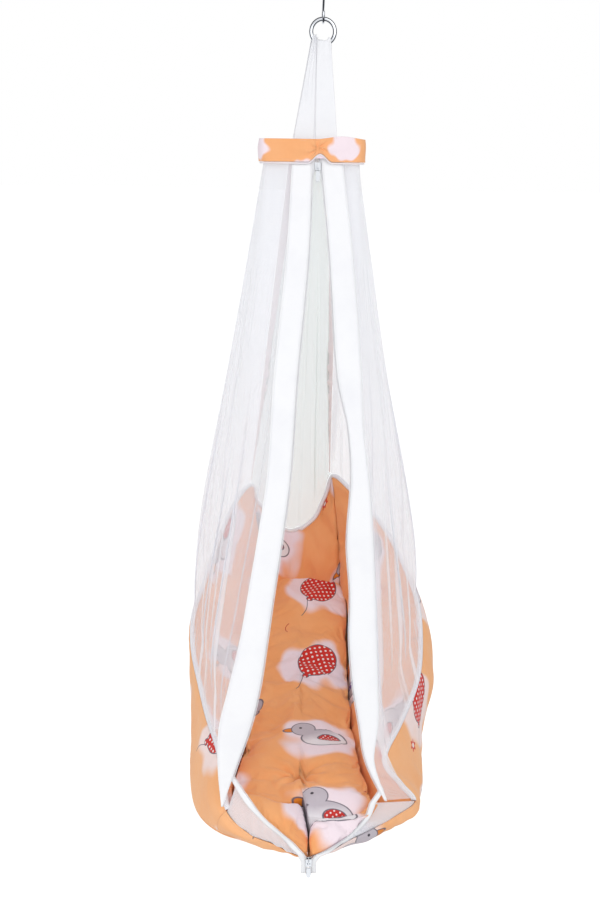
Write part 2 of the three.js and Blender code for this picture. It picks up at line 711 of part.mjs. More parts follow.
// Foot padding: a plump lump from the mattress out to the foot cover and the zip line.
function footPadding(name) {
  const side = sides[name];
  const band = footBand(name);
  const depth = netThickness + 4 * seat;
  const along = (share) => lerp(footNetFrom, footNetTo, share);
  const kerb = (share, layer) => {
    const point = bedEdgeAt(footRimStation(side, along(share)));
    return point.setZ(floorZ(point.y, layer));
  };
  const top = (share, out) => {
    const start = kerb(share, bedBottom + mattressSide + footPaddingPlump / 2);
    const plump = footPaddingPlump * Math.sin(Math.PI * out) * Math.sin(Math.PI * share) ** 0.5;
    const point = mix(start, band(along(share), footPaddingTop, depth), out);
    point.z += plump;
    return point;
  };
  const wallDepth = coverCloth + 5 * seat + depth + footSlack;
  const bottom = (share, out) => {
    const station = footRimStation(side, along(share));
    const wall = wallInset(station, 0, wallDepth);
    const onFloor = mix(kerb(share, 0), wall, Math.min(out * 3, 1));
    if (out <= 1 / 3) return onFloor.setZ(floorZ(onFloor.y, baseTop));
    if (out <= 2 / 3) return wallInset(station, (out * 3 - 1) * footSeamRise * 0.9, wallDepth);
    return band(along(share), lerp(1, footPaddingTop * 2, out * 3 - 2), depth);
  };
  return slab(grid(8, 6, top), grid(8, 6, bottom));
}

function bindingGeometry(from, to, count) {
  const station = panelStations(from, to);
  const depths = [0, coverCloth, paddingInset, paddingInset + paddingAtRim];
  const layer = (lift) => steps(count).map((share) => {
    const place = station(share);
    const up = rimUp(place).multiplyScalar(lift);
    return depths.map((depth) => wallInset(place, 1, depth).add(up));
  });
  return slab(layer(seat + bindingHeight), layer(seat));
}

// Floor: rows across the tub, as its height changes only along y.
function floorStation(y, low, high) {
  let [from, to] = [low, high];
  for (let round = 0; round < 40; round += 1) {
    const middle = (from + to) / 2;
    if (floorEdgeAt(middle).y < y) from = middle;
    else to = middle;
  }
  return from;
}

function baseCover() {
  const footY = Math.max(floorEdgeAt(0).y, floorEdgeAt(lastStation).y);
  const headY = Math.min(floorEdgeAt(headSeam.left).y, floorEdgeAt(headSeam.right).y);
  const face = (layer) => (share, across) => {
    const y = lerp(footY, headY, (1 - Math.cos(Math.PI * share)) / 2);
    const left = floorEdgeAt(floorStation(y, 0, headSeam.left));
    const right = floorEdgeAt(floorStation(y, lastStation, headSeam.right));
    return vector(lerp(left.x, right.x, across), y, floorZ(y, layer));
  };
  return slab(grid(36, 2, face(0)), grid(36, 2, face(baseCloth)));
}

// The mattress's plan: its foot edge steps out on the right, where it runs on to the foot.
function bedPlan() {
  const footEdge = (c) => {
    const step = 0.5;
    const near = bedEdgeAt(lerp(leftCorner, 0, Math.min(c / step, 1)));
    const far = bedEdgeAt(lerp(lastStation, rightCorner, Math.max(0, (c - step) / (1 - step))));
    return c <= step ? near : far;
  };
  const headEdge = (c) => bedEdgeAt(lerp(leftEar, rightEar, c));
  const leftEdge = (r) => bedEdgeAt(lerp(leftCorner, leftEar, r));
  const rightEdge = (r) => bedEdgeAt(lerp(rightCorner, rightEar, r));
  const patch = coons(footEdge, headEdge, leftEdge, rightEdge);
  const marginC = bedGap / rimHalfWidth;
  const marginR = bedGap / footReach;
  return (r, c) => patch(lerp(marginR, 1 - marginR, r), lerp(marginC * 2, 1 - marginC * 2, c));
}

function bedSlab(rows, columns, lower, upper) {
  const plan = bedPlan();
  const face = (layer) => (r, c) => {
    const point = plan(r, c);
    return point.setZ(floorZ(point.y, layer(point, r, c)));
  };
  return slab(grid(rows, columns, face(upper)), grid(rows, columns, face(lower)));
}

const tuftPlaceShares = [-0.078, -0.577];
function mattressTop(point, r, c) {
  const crownAcross = 1 - Math.abs(2 * c - 1) ** 5;
  const crownAlong = 1 - Math.abs(2 * r - 1) ** 12;
  const [tuftX, tuftY] = [tuftPlaceShares[0] * rimHalfWidth, tuftPlaceShares[1] * footReach];
  const away = Math.hypot(point.x - tuftX, point.y - tuftY) / tuftRadius;
  const crown = (mattressHeight - mattressSide) * crownAcross * crownAlong;
  return bedBottom + mattressSide + crown - tuftDepth * Math.exp(-(away ** 2) * 2);
}

// Collar: a cloth band over a stiff frame, with a bead along its lower edge and a panel that closes its top.
const archMiddle = 0.052 * collarWidth;
const archHalf = 0.12 * collarWidth;
const peakMiddle = 0.26 * collarWidth;
const peakHalf = 0.24 * collarWidth;

function collarLowerZ(x, front) {
  const share = Math.min(Math.abs(x - archMiddle) / archHalf, 1);
  return front ? collarArch * (1 - smooth(share)) : 0;
}

function collarUpperZ(x, front) {
  const share = Math.min(Math.abs(x - peakMiddle) / peakHalf, 1);
  return collarHeight + (front ? collarPeak * (1 - smooth(share)) : 0);
}

const runCounts = [2, 4, 3, 4, 20, 4, 3, 4, 2];

function collarBand(inset, lower, upper, columns) {
  const rows = runCounts.flatMap((count, run) => steps(count).slice(0, -1).map((share) => [run, share]));
  return rows.map(([run, share]) => steps(columns).map((rise) => {
    const point = collarPoint(inset, run, share);
    point.x += collarShift;
    const front = point.y < -collarDepth / 2 + collarCorner;
    return point.setZ(lerp(lower(point.x, front), upper(point.x, front), rise));
  }));
}

function collarCover() {
  return slab(
    collarBand(0, collarLowerZ, collarUpperZ, 2),
    collarBand(collarCloth, collarLowerZ, collarUpperZ, 2),
    true,
  );
}

function collarFrame() {
  const low = () => collarArch + pipingSize;
  const high = () => collarArch + pipingSize + frameHeight;
  return slab(
    collarBand(collarCloth + seat, low, high, 1),
    collarBand(collarCloth + seat + frameWall, low, high, 1),
    true,
  );
}

function collarPiping() {
  const high = (x, front) => collarLowerZ(x, front) - 2 * seat;
  const low = (x, front) => high(x, front) - pipingSize;
  return slab(collarBand(0, low, high, 1), collarBand(pipingSize, low, high, 1), true);
}

// Hanging tapes: each passes through the ring and comes down to the collar at the front and the back.
// Rows are the angles on the ring and the x at the collar, as shares of the collar's half width.
const tapeShares = {
  left: { ring: [-72, -42], collar: [-0.425, -0.02] },
  right: { ring: [-37, 50], collar: [0.015, 0.445] },
};

// A point of a tape's face, out from the ring's wire by a depth; place runs from the front end over to the back end.
function tapePoint({ ring, collar }, place, across, depth) {
  const turn = THREE.MathUtils.degToRad(lerp(ring[0], ring[1], across));
  const inward = vector(-Math.sin(turn), 0, Math.cos(turn));
  const wire = ringCentre.clone().addScaledVector(inward, -ringRadius);
  const rise = wire.z - stripTopZ - seat;
  const endY = -stripFrontY - stripLean * stripTopZ - stripThickness;
  const end = vector(lerp(collar[0], collar[1], across) * collarWidth / 2, endY, stripTopZ + seat);
  const leave = Math.atan2(endY - Math.sign(place) * ringCentre.y, rise);
  const saddle = 0.5;
  const away = Math.abs(place);
  const wrap = leave + (Math.PI / 2 - leave) * (1 - Math.min(away / saddle, 1));
  const direction = vector(0, Math.sign(place) * Math.cos(wrap), 0).addScaledVector(inward, Math.sin(wrap));
  const onRing = wire.addScaledVector(direction, ringWire / 2 + seat + depth);
  if (away <= saddle) return onRing;
  end.y = Math.sign(place) * (endY + depth);
  return mix(onRing, end, (away - saddle) / (1 - saddle));
}

function tapeLoop(shares) {
  const places = steps(24).map((share) => 2 * share - 1);
  const layer = (depth) => places.map((place) => steps(6).map((across) => tapePoint(shares, place, across, depth)));
  return slab(layer(0), layer(tapeThickness));
}

function collarTopPanel() {
  const inset = liningInset + seat;
  const halfX = collarWidth / 2 - inset;
  const halfY = collarDepth / 2 - inset;
  const radius = collarCorner - inset;
  const slotY = collarDepth / 2 - liningInset - 4 * tapeThickness - 0.35 * collarHeight;
  const slots = Object.values(tapeShares).map(({ collar }) => (
    collar.map((share) => share * collarWidth / 2 - collarShift)));
  const outline = new THREE.Shape();
  const edgeLine = (direction) => {
    const ordered = direction > 0 ? slots : [...slots].reverse().map(([a, b]) => [b, a]);
    for (const [from, to] of ordered) {
      const before = from - direction * 3 * seat;
      const after = to + direction * 3 * seat;
      outline.lineTo(before, -direction * halfY);
      outline.lineTo(before, -direction * slotY);
      outline.lineTo(after, -direction * slotY);
      outline.lineTo(after, -direction * halfY);
    }
  };
  outline.moveTo(-halfX + radius, -halfY);
  edgeLine(1);
  outline.absarc(halfX - radius, -halfY + radius, radius, -Math.PI / 2, 0);
  outline.absarc(halfX - radius, halfY - radius, radius, 0, Math.PI / 2);
  edgeLine(-1);
  outline.absarc(-halfX + radius, halfY - radius, radius, Math.PI / 2, Math.PI);
  outline.absarc(-halfX + radius, -halfY + radius, radius, Math.PI, Math.PI * 1.5);
  const geometry = new THREE.ExtrudeGeometry(outline, {
    depth: topPanelThickness, bevelEnabled: false, curveSegments: 5,
  });
  geometry.translate(collarShift, 0, stripTopZ + 3 * seat);
  return geometry;
}

// Hook and ring
function roundTube(points, radius, sides, count) {
  const section = new THREE.Shape().absarc(0, 0, radius, 0, 2 * Math.PI);
  const path = new THREE.CatmullRomCurve3(points);
  return new THREE.ExtrudeGeometry(section, {
    steps: count, bevelEnabled: false, extrudePath: path, curveSegments: sides,
  });
}

function hookGeometry() {
  const bend = (hookBend + hookWire) / 2;
  const upper = -hookBend / 2;
  const lower = -hookLength + hookBend / 2;
  const lean = Math.asin(2 * bend / (upper - lower));
  const tip = THREE.MathUtils.degToRad(25);
  const arc = (centre, from, to) => steps(12).map((share) => {
    const turn = lerp(from, to, share);
    return vector(0, bend * Math.cos(turn), centre + bend * Math.sin(turn));
  });
  const points = [...arc(upper, -tip, Math.PI + lean), ...arc(lower, lean, -Math.PI - tip)];
  return roundTube(points, hookWire / 2, 5, 44);
}

function ringGeometry() {
  const geometry = new THREE.TorusGeometry(ringRadius, ringWire / 2, 10, 36);
  geometry.rotateX(Math.PI / 2);
  return geometry;
}

// Zip sliders, each in its own frame: y up the closed chain's way, z out of its front face.
function toManifold(geometry) {
  const plain = geometry.clone();
  plain.deleteAttribute('normal');
  plain.deleteAttribute('uv');
  const merged = mergeVertices(plain, 1e-4);
  return new wasm.Manifold(new wasm.Mesh({
    numProp: 3,
    vertProperties: new Float32Array(merged.attributes.position.array),
    triVerts: new Uint32Array(merged.index.array),
  }));
}

function fromManifold(solid) {
  const mesh = solid.getMesh();
  const geometry = new THREE.BufferGeometry();
  geometry.setAttribute('position', new THREE.BufferAttribute(new Float32Array(mesh.vertProperties), 3));
  geometry.setIndex(new THREE.BufferAttribute(new Uint32Array(mesh.triVerts), 1));
  geometry.computeVertexNormals();
  return geometry;
}

function boxAt(size, place) {
  return toManifold(new THREE.BoxGeometry(...size).translate(...place));
}

const slotDepth = coilThickness + 2 * seat;
const bailReach = sliderLength * 0.3;
const barPlace = { y: -bailReach + bailWire / 2 + seat + pullThickness / 2, z: seat + pullThickness / 2 };

function sliderGeometry(openEnd) {
  const front = boxAt([sliderWidth, sliderLength, sliderPlate], [0, 0, -sliderPlate / 2]);
  const backZ = -sliderPlate * 1.5 - slotDepth;
  const back = boxAt([sliderWidth, sliderLength, sliderPlate], [0, 0, backZ]);
  const postLength = sliderLength * 0.35;
  const post = boxAt(
    [sliderPost, postLength, slotDepth + sliderPlate],
    [0, openEnd * (sliderLength - postLength) / 2, -(slotDepth + 2 * sliderPlate) / 2],
  );
  const leg = (y) => boxAt([bailWire * 1.3, bailWire, bailHeight + sliderPlate / 2],
    [0, y, bailHeight / 2 - sliderPlate / 4]);
  const bridge = boxAt([bailWire * 1.3, 2 * bailReach + bailWire, bailWire], [0, 0, bailHeight - bailWire / 2]);
  return fromManifold(front.add(back).add(post).add(leg(bailReach)).add(leg(-bailReach)).add(bridge));
}

// The pull tab, its top bar round the origin, hanging down -y.
function pullGeometry() {
  const half = pullWidth / 2;
  const bar = pullThickness / 2;
  const windowHalf = bailWire * 1.3 / 2 + 3 * seat;
  const shape = new THREE.Shape();
  shape.moveTo(-half * 0.8, bar);
  shape.lineTo(-half * 0.8, -pullWindow);
  shape.lineTo(-half, -pullWindow * 1.6);
  shape.lineTo(-half, -pullLength + half);
  shape.absarc(0, -pullLength + half, half, Math.PI, 2 * Math.PI);
  shape.lineTo(half, -pullWindow * 1.6);
  shape.lineTo(half * 0.8, -pullWindow);
  shape.lineTo(half * 0.8, bar);
  shape.closePath();
  const hole = new THREE.Path();
  hole.moveTo(-windowHalf, -bar);
  hole.lineTo(windowHalf, -bar);
  hole.lineTo(windowHalf, -bar - pullWindow);
  hole.lineTo(-windowHalf, -bar - pullWindow);
  hole.closePath();
  shape.holes.push(hole);
  const geometry = new THREE.ExtrudeGeometry(shape, { depth: pullThickness, bevelEnabled: false, curveSegments: 8 });
  return geometry.translate(0, 0, -pullThickness / 2);
}

const cradle = new THREE.Group();
const tent = new THREE.Group();
tent.position.set(tentShift, tentSetback, collarBottomZ);
cradle.add(tent);

function add(group, name, geometry, material) {
  const mesh = new THREE.Mesh(geometry, material);
  mesh.name = name;
  group.add(mesh);
  return mesh;
}

add(cradle, 'hanging_hook', hookGeometry(), materials.steel);
add(cradle, 'hanging_ring', ringGeometry(), materials.steel).position.set(0, 0, ringCentreZ);

for (const name of ['left', 'right']) {
  add(tent, `hanging_tape_${name}`, tapeLoop(tapeShares[name]), materials.cotton);
}
add(tent, 'collar_cover', collarCover(), materials.print);
add(tent, 'collar_frame', collarFrame(), materials.frame);
add(tent, 'collar_piping', collarPiping(), materials.cotton);
add(tent, 'collar_top_panel', collarTopPanel(), materials.net);

for (const name of ['left', 'right']) {
  add(tent, `front_strip_${name}`, frontStrip(sides[name]), materials.cotton);
  add(tent, `zip_half_${name}`, zipHalf(name), materials.zip);
  add(tent, `back_tape_${name}`, backTapeGeometry(name), materials.cotton);
  add(tent, `net_${name}`, sideNet(name), materials.net);
  add(tent, `foot_net_${name}`, footNet(name), materials.net);
  add(tent, `foot_padding_${name}`, footPadding(name), materials.lining);
}
add(tent, 'net_back', backNet(), materials.net);

add(tent, 'foot_cover_left', wallCover(0, leftCorner, footCount.left), materials.print);
add(tent, 'side_cover_left', wallCover(leftCorner, leftEar, sideCount.left), materials.print);
add(tent, 'head_cover', wallCover(leftEar, rightEar, headCount), materials.print);
add(tent, 'side_cover_right', wallCover(rightEar, rightCorner, sideCount.right), materials.print);
add(tent, 'foot_cover_right', wallCover(rightCorner, lastStation, footCount.right), materials.print);
add(tent, 'side_padding_left', wallPadding(leftCorner, leftEar, sideCount.left), materials.lining);
add(tent, 'head_padding', wallPadding(leftEar, rightEar, headCount), materials.lining);
add(tent, 'side_padding_right', wallPadding(rightEar, rightCorner, sideCount.right), materials.lining);
add(tent, 'rim_binding_left', bindingGeometry(leftCorner, leftEar, sideCount.left), materials.cotton);
add(tent, 'rim_binding_head', bindingGeometry(leftEar, rightEar, headCount), materials.cotton);
add(tent, 'rim_binding_right', bindingGeometry(rightEar, rightCorner, sideCount.right), materials.cotton);
add(tent, 'base_cover', baseCover(), materials.print);
add(tent, 'mattress', bedSlab(sideCount.left, headCount, () => bedBottom, mattressTop), materials.mattress);

// The upper zip end leans with the strips; the lower one stands upright at the foot's tip.
const chainFront = zipLayer + zipTapeThickness / 2 - coilThickness / 2 - seat - sliderPlate;
function addZipEnd(name, origin, frame, openEnd, sliderAt, stopAt) {
  const end = new THREE.Group();
  end.position.copy(origin);
  end.quaternion.copy(frame);
  tent.add(end);
  const slider = new THREE.Group();
  slider.position.set(0, sliderAt, -chainFront);
  end.add(slider);
  add(slider, `zip_slider_${name}`, sliderGeometry(openEnd), materials.steel);
  const pull = add(slider, `zip_pull_${name}`, pullGeometry(), materials.steel);
  pull.position.set(0, barPlace.y, barPlace.z);
  const stopSize = [2 * coilReach + chainSlot, stopLength, coilThickness];
  const stopZ = -zipLayer - zipTapeThickness / 2;
  const stop = new THREE.BoxGeometry(...stopSize);
  add(end, `zip_stop_${name}`, stop, materials.steel).position.set(0, stopAt, stopZ);
}

const upright = new THREE.Quaternion().setFromAxisAngle(vector(1, 0, 0), Math.PI / 2);
const leaning = new THREE.Quaternion().setFromAxisAngle(vector(1, 0, 0), Math.PI / 2 - Math.atan(stripLean));
const stripSlope = Math.hypot(1, stripLean);
addZipEnd('upper', vector(chainX, stripFrontY, 0), leaning, -1, -sliderLength * 0.6,
  chainTuck * stripSlope + seat + stopLength / 2);
addZipEnd('lower', vector(footChainX, footChainY, footChainTopZ), upright, 1, 0, -footChain - seat - stopLength / 2);

export default cradle;
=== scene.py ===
"""Looks of a hanging baby cradle: a padded cloth tub under a net tent, hung by two tapes from a ring on an S-hook.

Shapes are worked out in the tent's own frame, in millimetres: x across the cradle, y from its foot (-) to its head
(+), z up from the collar's lower edge. `in_part` brings them into the part's frame, in metres.
"""

import logging
import math
from dataclasses import dataclass
from enum import Enum
from typing import Callable, Iterable, Sequence

import bmesh
import bpy
import numpy as np
from mathutils import Matrix, Vector


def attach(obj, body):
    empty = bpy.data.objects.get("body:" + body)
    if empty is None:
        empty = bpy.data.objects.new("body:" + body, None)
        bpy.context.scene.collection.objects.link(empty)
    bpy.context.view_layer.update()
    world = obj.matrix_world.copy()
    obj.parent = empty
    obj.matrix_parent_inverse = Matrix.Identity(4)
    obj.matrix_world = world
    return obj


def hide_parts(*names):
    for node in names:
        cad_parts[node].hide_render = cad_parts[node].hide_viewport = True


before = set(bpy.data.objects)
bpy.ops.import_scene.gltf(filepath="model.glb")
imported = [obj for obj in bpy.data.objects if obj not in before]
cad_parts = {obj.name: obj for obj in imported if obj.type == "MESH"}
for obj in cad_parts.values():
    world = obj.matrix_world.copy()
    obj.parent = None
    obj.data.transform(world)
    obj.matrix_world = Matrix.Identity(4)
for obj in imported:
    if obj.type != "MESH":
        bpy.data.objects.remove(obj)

log = logging.getLogger("cradle")
Array = np.ndarray
Piece = bpy.types.Object
Socket = bpy.types.NodeSocket
MM = 0.001


class Slot(Enum):
    """The record's material slots."""

    STEEL = "steel"
    PRINT = "printed_cotton"
    LINING = "quilted_lining"
    MATTRESS = "mattress_cotton"
    COTTON = "white_cotton"
    NET = "net"
    ZIP = "zip_tape"
    BOARD = "collar_board"


class Body(Enum):
    """The bodies that the pieces ride on."""

    HOOK = "hook"
    RING = "ring"
    CRADLE = "cradle"


class Side(Enum):
    """The cradle's two sides, seen from its foot; the value is the sign of x."""

    LEFT = -1
    RIGHT = 1

    @property
    def word(self) -> str:
        """The side's name in lower case, as piece names use it."""
        return self.name.lower()


# ---------------------------------------------------------------------------------------------------------------
# Arrays


def unit(vectors: Array) -> Array:
    """Each vector over its own length."""
    return vectors / np.maximum(np.linalg.norm(vectors, axis=-1, keepdims=True), 1e-12)


def smooth(share: Array | float) -> Array:
    """The cubic step 3t^2 - 2t^3, with t held between 0 and 1."""
    held = np.clip(share, 0.0, 1.0)
    return held * held * (3 - 2 * held)


def mix(start: Array, end: Array, share: Array | float) -> Array:
    """start + (end - start) * share, for points and one share of each."""
    return start + (end - start) * np.asarray(share, float)[..., None]


def xyz(x: Array | float, y: Array | float, z: Array | float = 0.0) -> Array:
    """Coordinates, spread to one shape, as points."""
    return np.stack(np.broadcast_arrays(x, y, z), -1)


def over_end(share: Array, start: float) -> Array:
    """The part of a share that lies past a start, from 0 there to 1 at 1."""
    return np.maximum(0, (share - start) / (1 - start))


def curve_at(points: Array, place: Array | float) -> Array:
    """A Catmull-Rom curve: half of (2b + (c-a)t + (2a-5b+4c-d)t^2 + (3b-a-3c+d)t^3) between points b and c.

    Args:
        points: rows of x, y, z; the ends are run on straight for the first and last spans.
        place: where to read, 0 at the first point and n - 1 at the last.

    Returns:
        The curve's points, in place's shape with a last axis of 3.
    """
    run_on = np.vstack([2 * points[0] - points[1], points, 2 * points[-1] - points[-2]])
    spot = np.clip(np.asarray(place, float), 0, len(points) - 1)
    first = np.minimum(spot.astype(int), len(points) - 2)
    t = (spot - first)[..., None]
    a, b, c, d = (run_on[first + k] for k in range(4))
    return 0.5 * (2 * b + (c - a) * t + (2 * a - 5 * b + 4 * c - d) * t**2 + (3 * b - a - 3 * c + d) * t**3)


def table_at(table: Array, place: Array | float, column: int) -> Array:
    """Reads a table of rows [place, value, ...] with a cubic whose slopes come from the neighbouring rows."""
    spot = np.asarray(place, float)
    upper = np.clip(np.searchsorted(table[:, 0], spot, side="left"), 1, len(table) - 1)
    low, high = table[upper - 1], table[upper]
    before, after = table[np.maximum(upper - 2, 0)], table[np.minimum(upper + 1, len(table) - 1)]
    width = high[..., 0] - low[..., 0]
    t = np.clip((spot - low[..., 0]) / width, 0, 1)
    slope_low = (high[..., column] - before[..., column]) / (high[..., 0] - before[..., 0]) * width
    slope_high = (after[..., column] - low[..., column]) / (after[..., 0] - low[..., 0]) * width
    return (
        low[..., column] * (2 * t**3 - 3 * t**2 + 1)
        + slope_low * (t**3 - 2 * t**2 + t)
        + high[..., column] * (3 * t**2 - 2 * t**3)
        + slope_high * (t**3 - t**2)
    )


def spread(rows: int, columns: int) -> tuple[Array, Array]:
    """Two parameter grids from 0 to 1, one growing with the rows and one with the columns."""
    return np.meshgrid(np.linspace(0, 1, rows), np.linspace(0, 1, columns), indexing="ij")


def grid_normals(points: Array) -> Array:
    """Unit normals of a grid of points: the cross product of its two running differences."""
    return unit(np.cross(np.gradient(points, axis=0), np.gradient(points, axis=1)))


def run_lengths(points: Array) -> Array:
    """Length along a line of points, 0 at its first."""
    return np.concatenate([[0.0], np.cumsum(np.linalg.norm(np.diff(points, axis=0), axis=1))])


def read_along(length: Array, values: Array, wanted: Array) -> Array:
    """Rows of values that stand at lengths along a line, read at other lengths."""
    return np.stack([np.interp(wanted, length, values[:, k]) for k in range(values.shape[1])], -1)


def resampled(points: Array, count: int, values: Array | None = None) -> Array:
    """A line's points, or values that go with them, at equal steps of its length."""
    length = run_lengths(points)
    return read_along(length, points if values is None else values, np.linspace(0, length[-1], count))


def waves(u: Array, v: Array, size: float, seed: int, count: int = 7, stretch: float = 1.0) -> Array:
    """Soft irregular relief from about -1 to 1: a sum of sines sin(k.p + phase) in seeded directions.

    Args:
        u, v: lengths along and across the cloth, in millimetres.
        size: the usual distance from crest to crest along u.
        seed: for the directions and phases.
        count: number of sines.
        stretch: how many times longer the crests are along v.

    Returns:
        The relief, in u's shape.
    """
    dice = np.random.default_rng(seed)
    angle, phase = dice.uniform(-math.pi, math.pi, count), dice.uniform(-math.pi, math.pi, count)
    pace = 2 * math.pi / (size * dice.uniform(0.7, 1.5, count))
    total = sum(
        np.sin(pace[k] * (np.cos(angle[k]) * u + np.sin(angle[k]) * v / stretch) + phase[k]) for k in range(count)
    )
    return total / math.sqrt(count) / 1.3


# ---------------------------------------------------------------------------------------------------------------
# The cradle's form


@dataclass(frozen=True)
class Layout:
    """Where the hanging gear and the tent stand to each other."""

    seat: float = 0.3
    hook_wire: float = 4.0
    hook_bend: float = 18.0
    hook_length: float = 48.0
    ring_wire: float = 6.5
    ring_outer: float = 42.0
    tape_rise: float = 138.0
    collar_height: float = 32.0
    shift: float = -13.6
    setback: float = -36.0

    @property
    def ring_radius(self) -> float:
        """Radius of the ring's middle line."""
        return (self.ring_outer - self.ring_wire) / 2

    @property
    def ring_z(self) -> float:
        """Height of the ring's centre in the part's frame."""
        return -self.hook_length + self.seat + self.ring_wire / 2 - self.ring_radius

    @property
    def tent_place(self) -> Array:
        """The tent frame's origin in the part's frame."""
        z = self.ring_z - self.ring_radius - self.tape_rise - self.collar_height
        return np.array([self.shift, self.setback, z])

    @property
    def ring_centre(self) -> Array:
        """The ring's centre in the tent's frame."""
        return np.array([0.0, 0.0, self.ring_z]) - self.tent_place


LAYOUT = Layout()


def in_part(points: Array) -> Array:
    """Points of the tent's frame in the part's frame, in metres."""
    return (points + LAYOUT.tent_place) * MM


# Stations round the tub's wall, from the foot's tip by the left side, the head and the right side back: the rim's
# x, y and height, the floor edge's x and y, the mattress edge's x and y, as shares of the tub's sizes.
WALL_SHARES = np.array([
    [-0.035, -0.98, 0.063, -0.04, -0.952, -0.045, -0.74],
    [-0.145, -0.968, 0.078, -0.175, -0.9, -0.165, -0.74],
    [-0.275, -0.945, 0.103, -0.358, -0.876, -0.29, -0.74],
    [-0.44, -0.9, 0.114, -0.538, -0.838, -0.415, -0.74],
    [-0.605, -0.84, 0.178, -0.71, -0.785, -0.56, -0.738],
    [-0.655, -0.722, 0.274, -0.86, -0.69, -0.58, -0.65],
    [-0.712, -0.585, 0.302, -0.95, -0.56, -0.565, -0.51],
    [-0.8, -0.398, 0.306, -1.0, -0.373, -0.53, -0.323],
    [-0.888, -0.187, 0.335, -1.01, -0.187, -0.5, -0.15],
    [-0.975, 0.028, 0.397, -0.995, 0.014, -0.485, 0.028],
    [-0.995, 0.227, 0.483, -0.974, 0.227, -0.48, 0.213],
    [-0.941, 0.426, 0.545, -0.932, 0.412, -0.48, 0.384],
    [-0.839, 0.611, 0.691, -0.842, 0.582, -0.47, 0.54],
    [-0.688, 0.81, 0.866, -0.695, 0.795, -0.445, 0.7],
    [-0.522, 0.985, 0.94, -0.537, 0.945, -0.375, 0.83],
    [-0.415, 1.003, 0.815, -0.368, 0.974, -0.25, 0.865],
    [-0.146, 0.997, 0.665, -0.158, 0.989, -0.095, 0.878],
    [0.088, 0.994, 0.731, 0.158, 0.989, 0.08, 0.878],
    [0.2, 1, 0.853, 0.368, 0.974, 0.235, 0.865],
    [0.305, 0.99, 1, 0.526, 0.945, 0.365, 0.83],
    [0.478, 0.852, 0.96, 0.684, 0.795, 0.425, 0.7],
    [0.756, 0.659, 0.814, 0.832, 0.602, 0.425, 0.568],
    [0.927, 0.483, 0.663, 0.926, 0.426, 0.412, 0.426],
    [1.015, 0.256, 0.537, 1.01, 0.227, 0.39, 0.227],
    [0.99, 0, 0.408, 1.04, -0.012, 0.372, 0.014],
    [0.902, -0.199, 0.335, 1.02, -0.199, 0.37, -0.174],
    [0.722, -0.423, 0.28, 0.984, -0.373, 0.382, -0.36],
    [0.575, -0.59, 0.229, 0.947, -0.493, 0.4, -0.51],
    [0.68, -0.652, 0.16, 0.884, -0.592, 0.42, -0.61],
    [0.77, -0.704, 0.108, 0.779, -0.677, 0.43, -0.7],
    [0.59, -0.808, 0.114, 0.6, -0.776, 0.42, -0.785],
    [0.41, -0.883, 0.114, 0.442, -0.826, 0.345, -0.832],
    [0.268, -0.938, 0.117, 0.274, -0.871, 0.225, -0.848],
    [0.107, -0.968, 0.083, 0.126, -0.9, 0.085, -0.852],
    [-0.028, -0.98, 0.063, -0.028, -0.952, -0.022, -0.852],
])
LEFT_CORNER, LEFT_EAR, RIGHT_EAR, RIGHT_CORNER, LAST = 4, 14, 19, 29, len(WALL_SHARES) - 1
HEAD_SEAM = (16, 17)
WALLS = (
    ("left", LEFT_CORNER, LEFT_EAR, 200), ("head", LEFT_EAR, RIGHT_EAR, 90), ("right", RIGHT_EAR, RIGHT_CORNER, 230),
)
BULGE_SHARES = np.array([
    [0, 0], [LEFT_CORNER, 0.6], [9, 1], [LEFT_EAR, 0.8], [RIGHT_EAR, 0.8], [21, 0.35], [22.5, 1], [24, 0.75],
    [25, 0.05], [RIGHT_CORNER, 0.2], [LAST, 0],
])


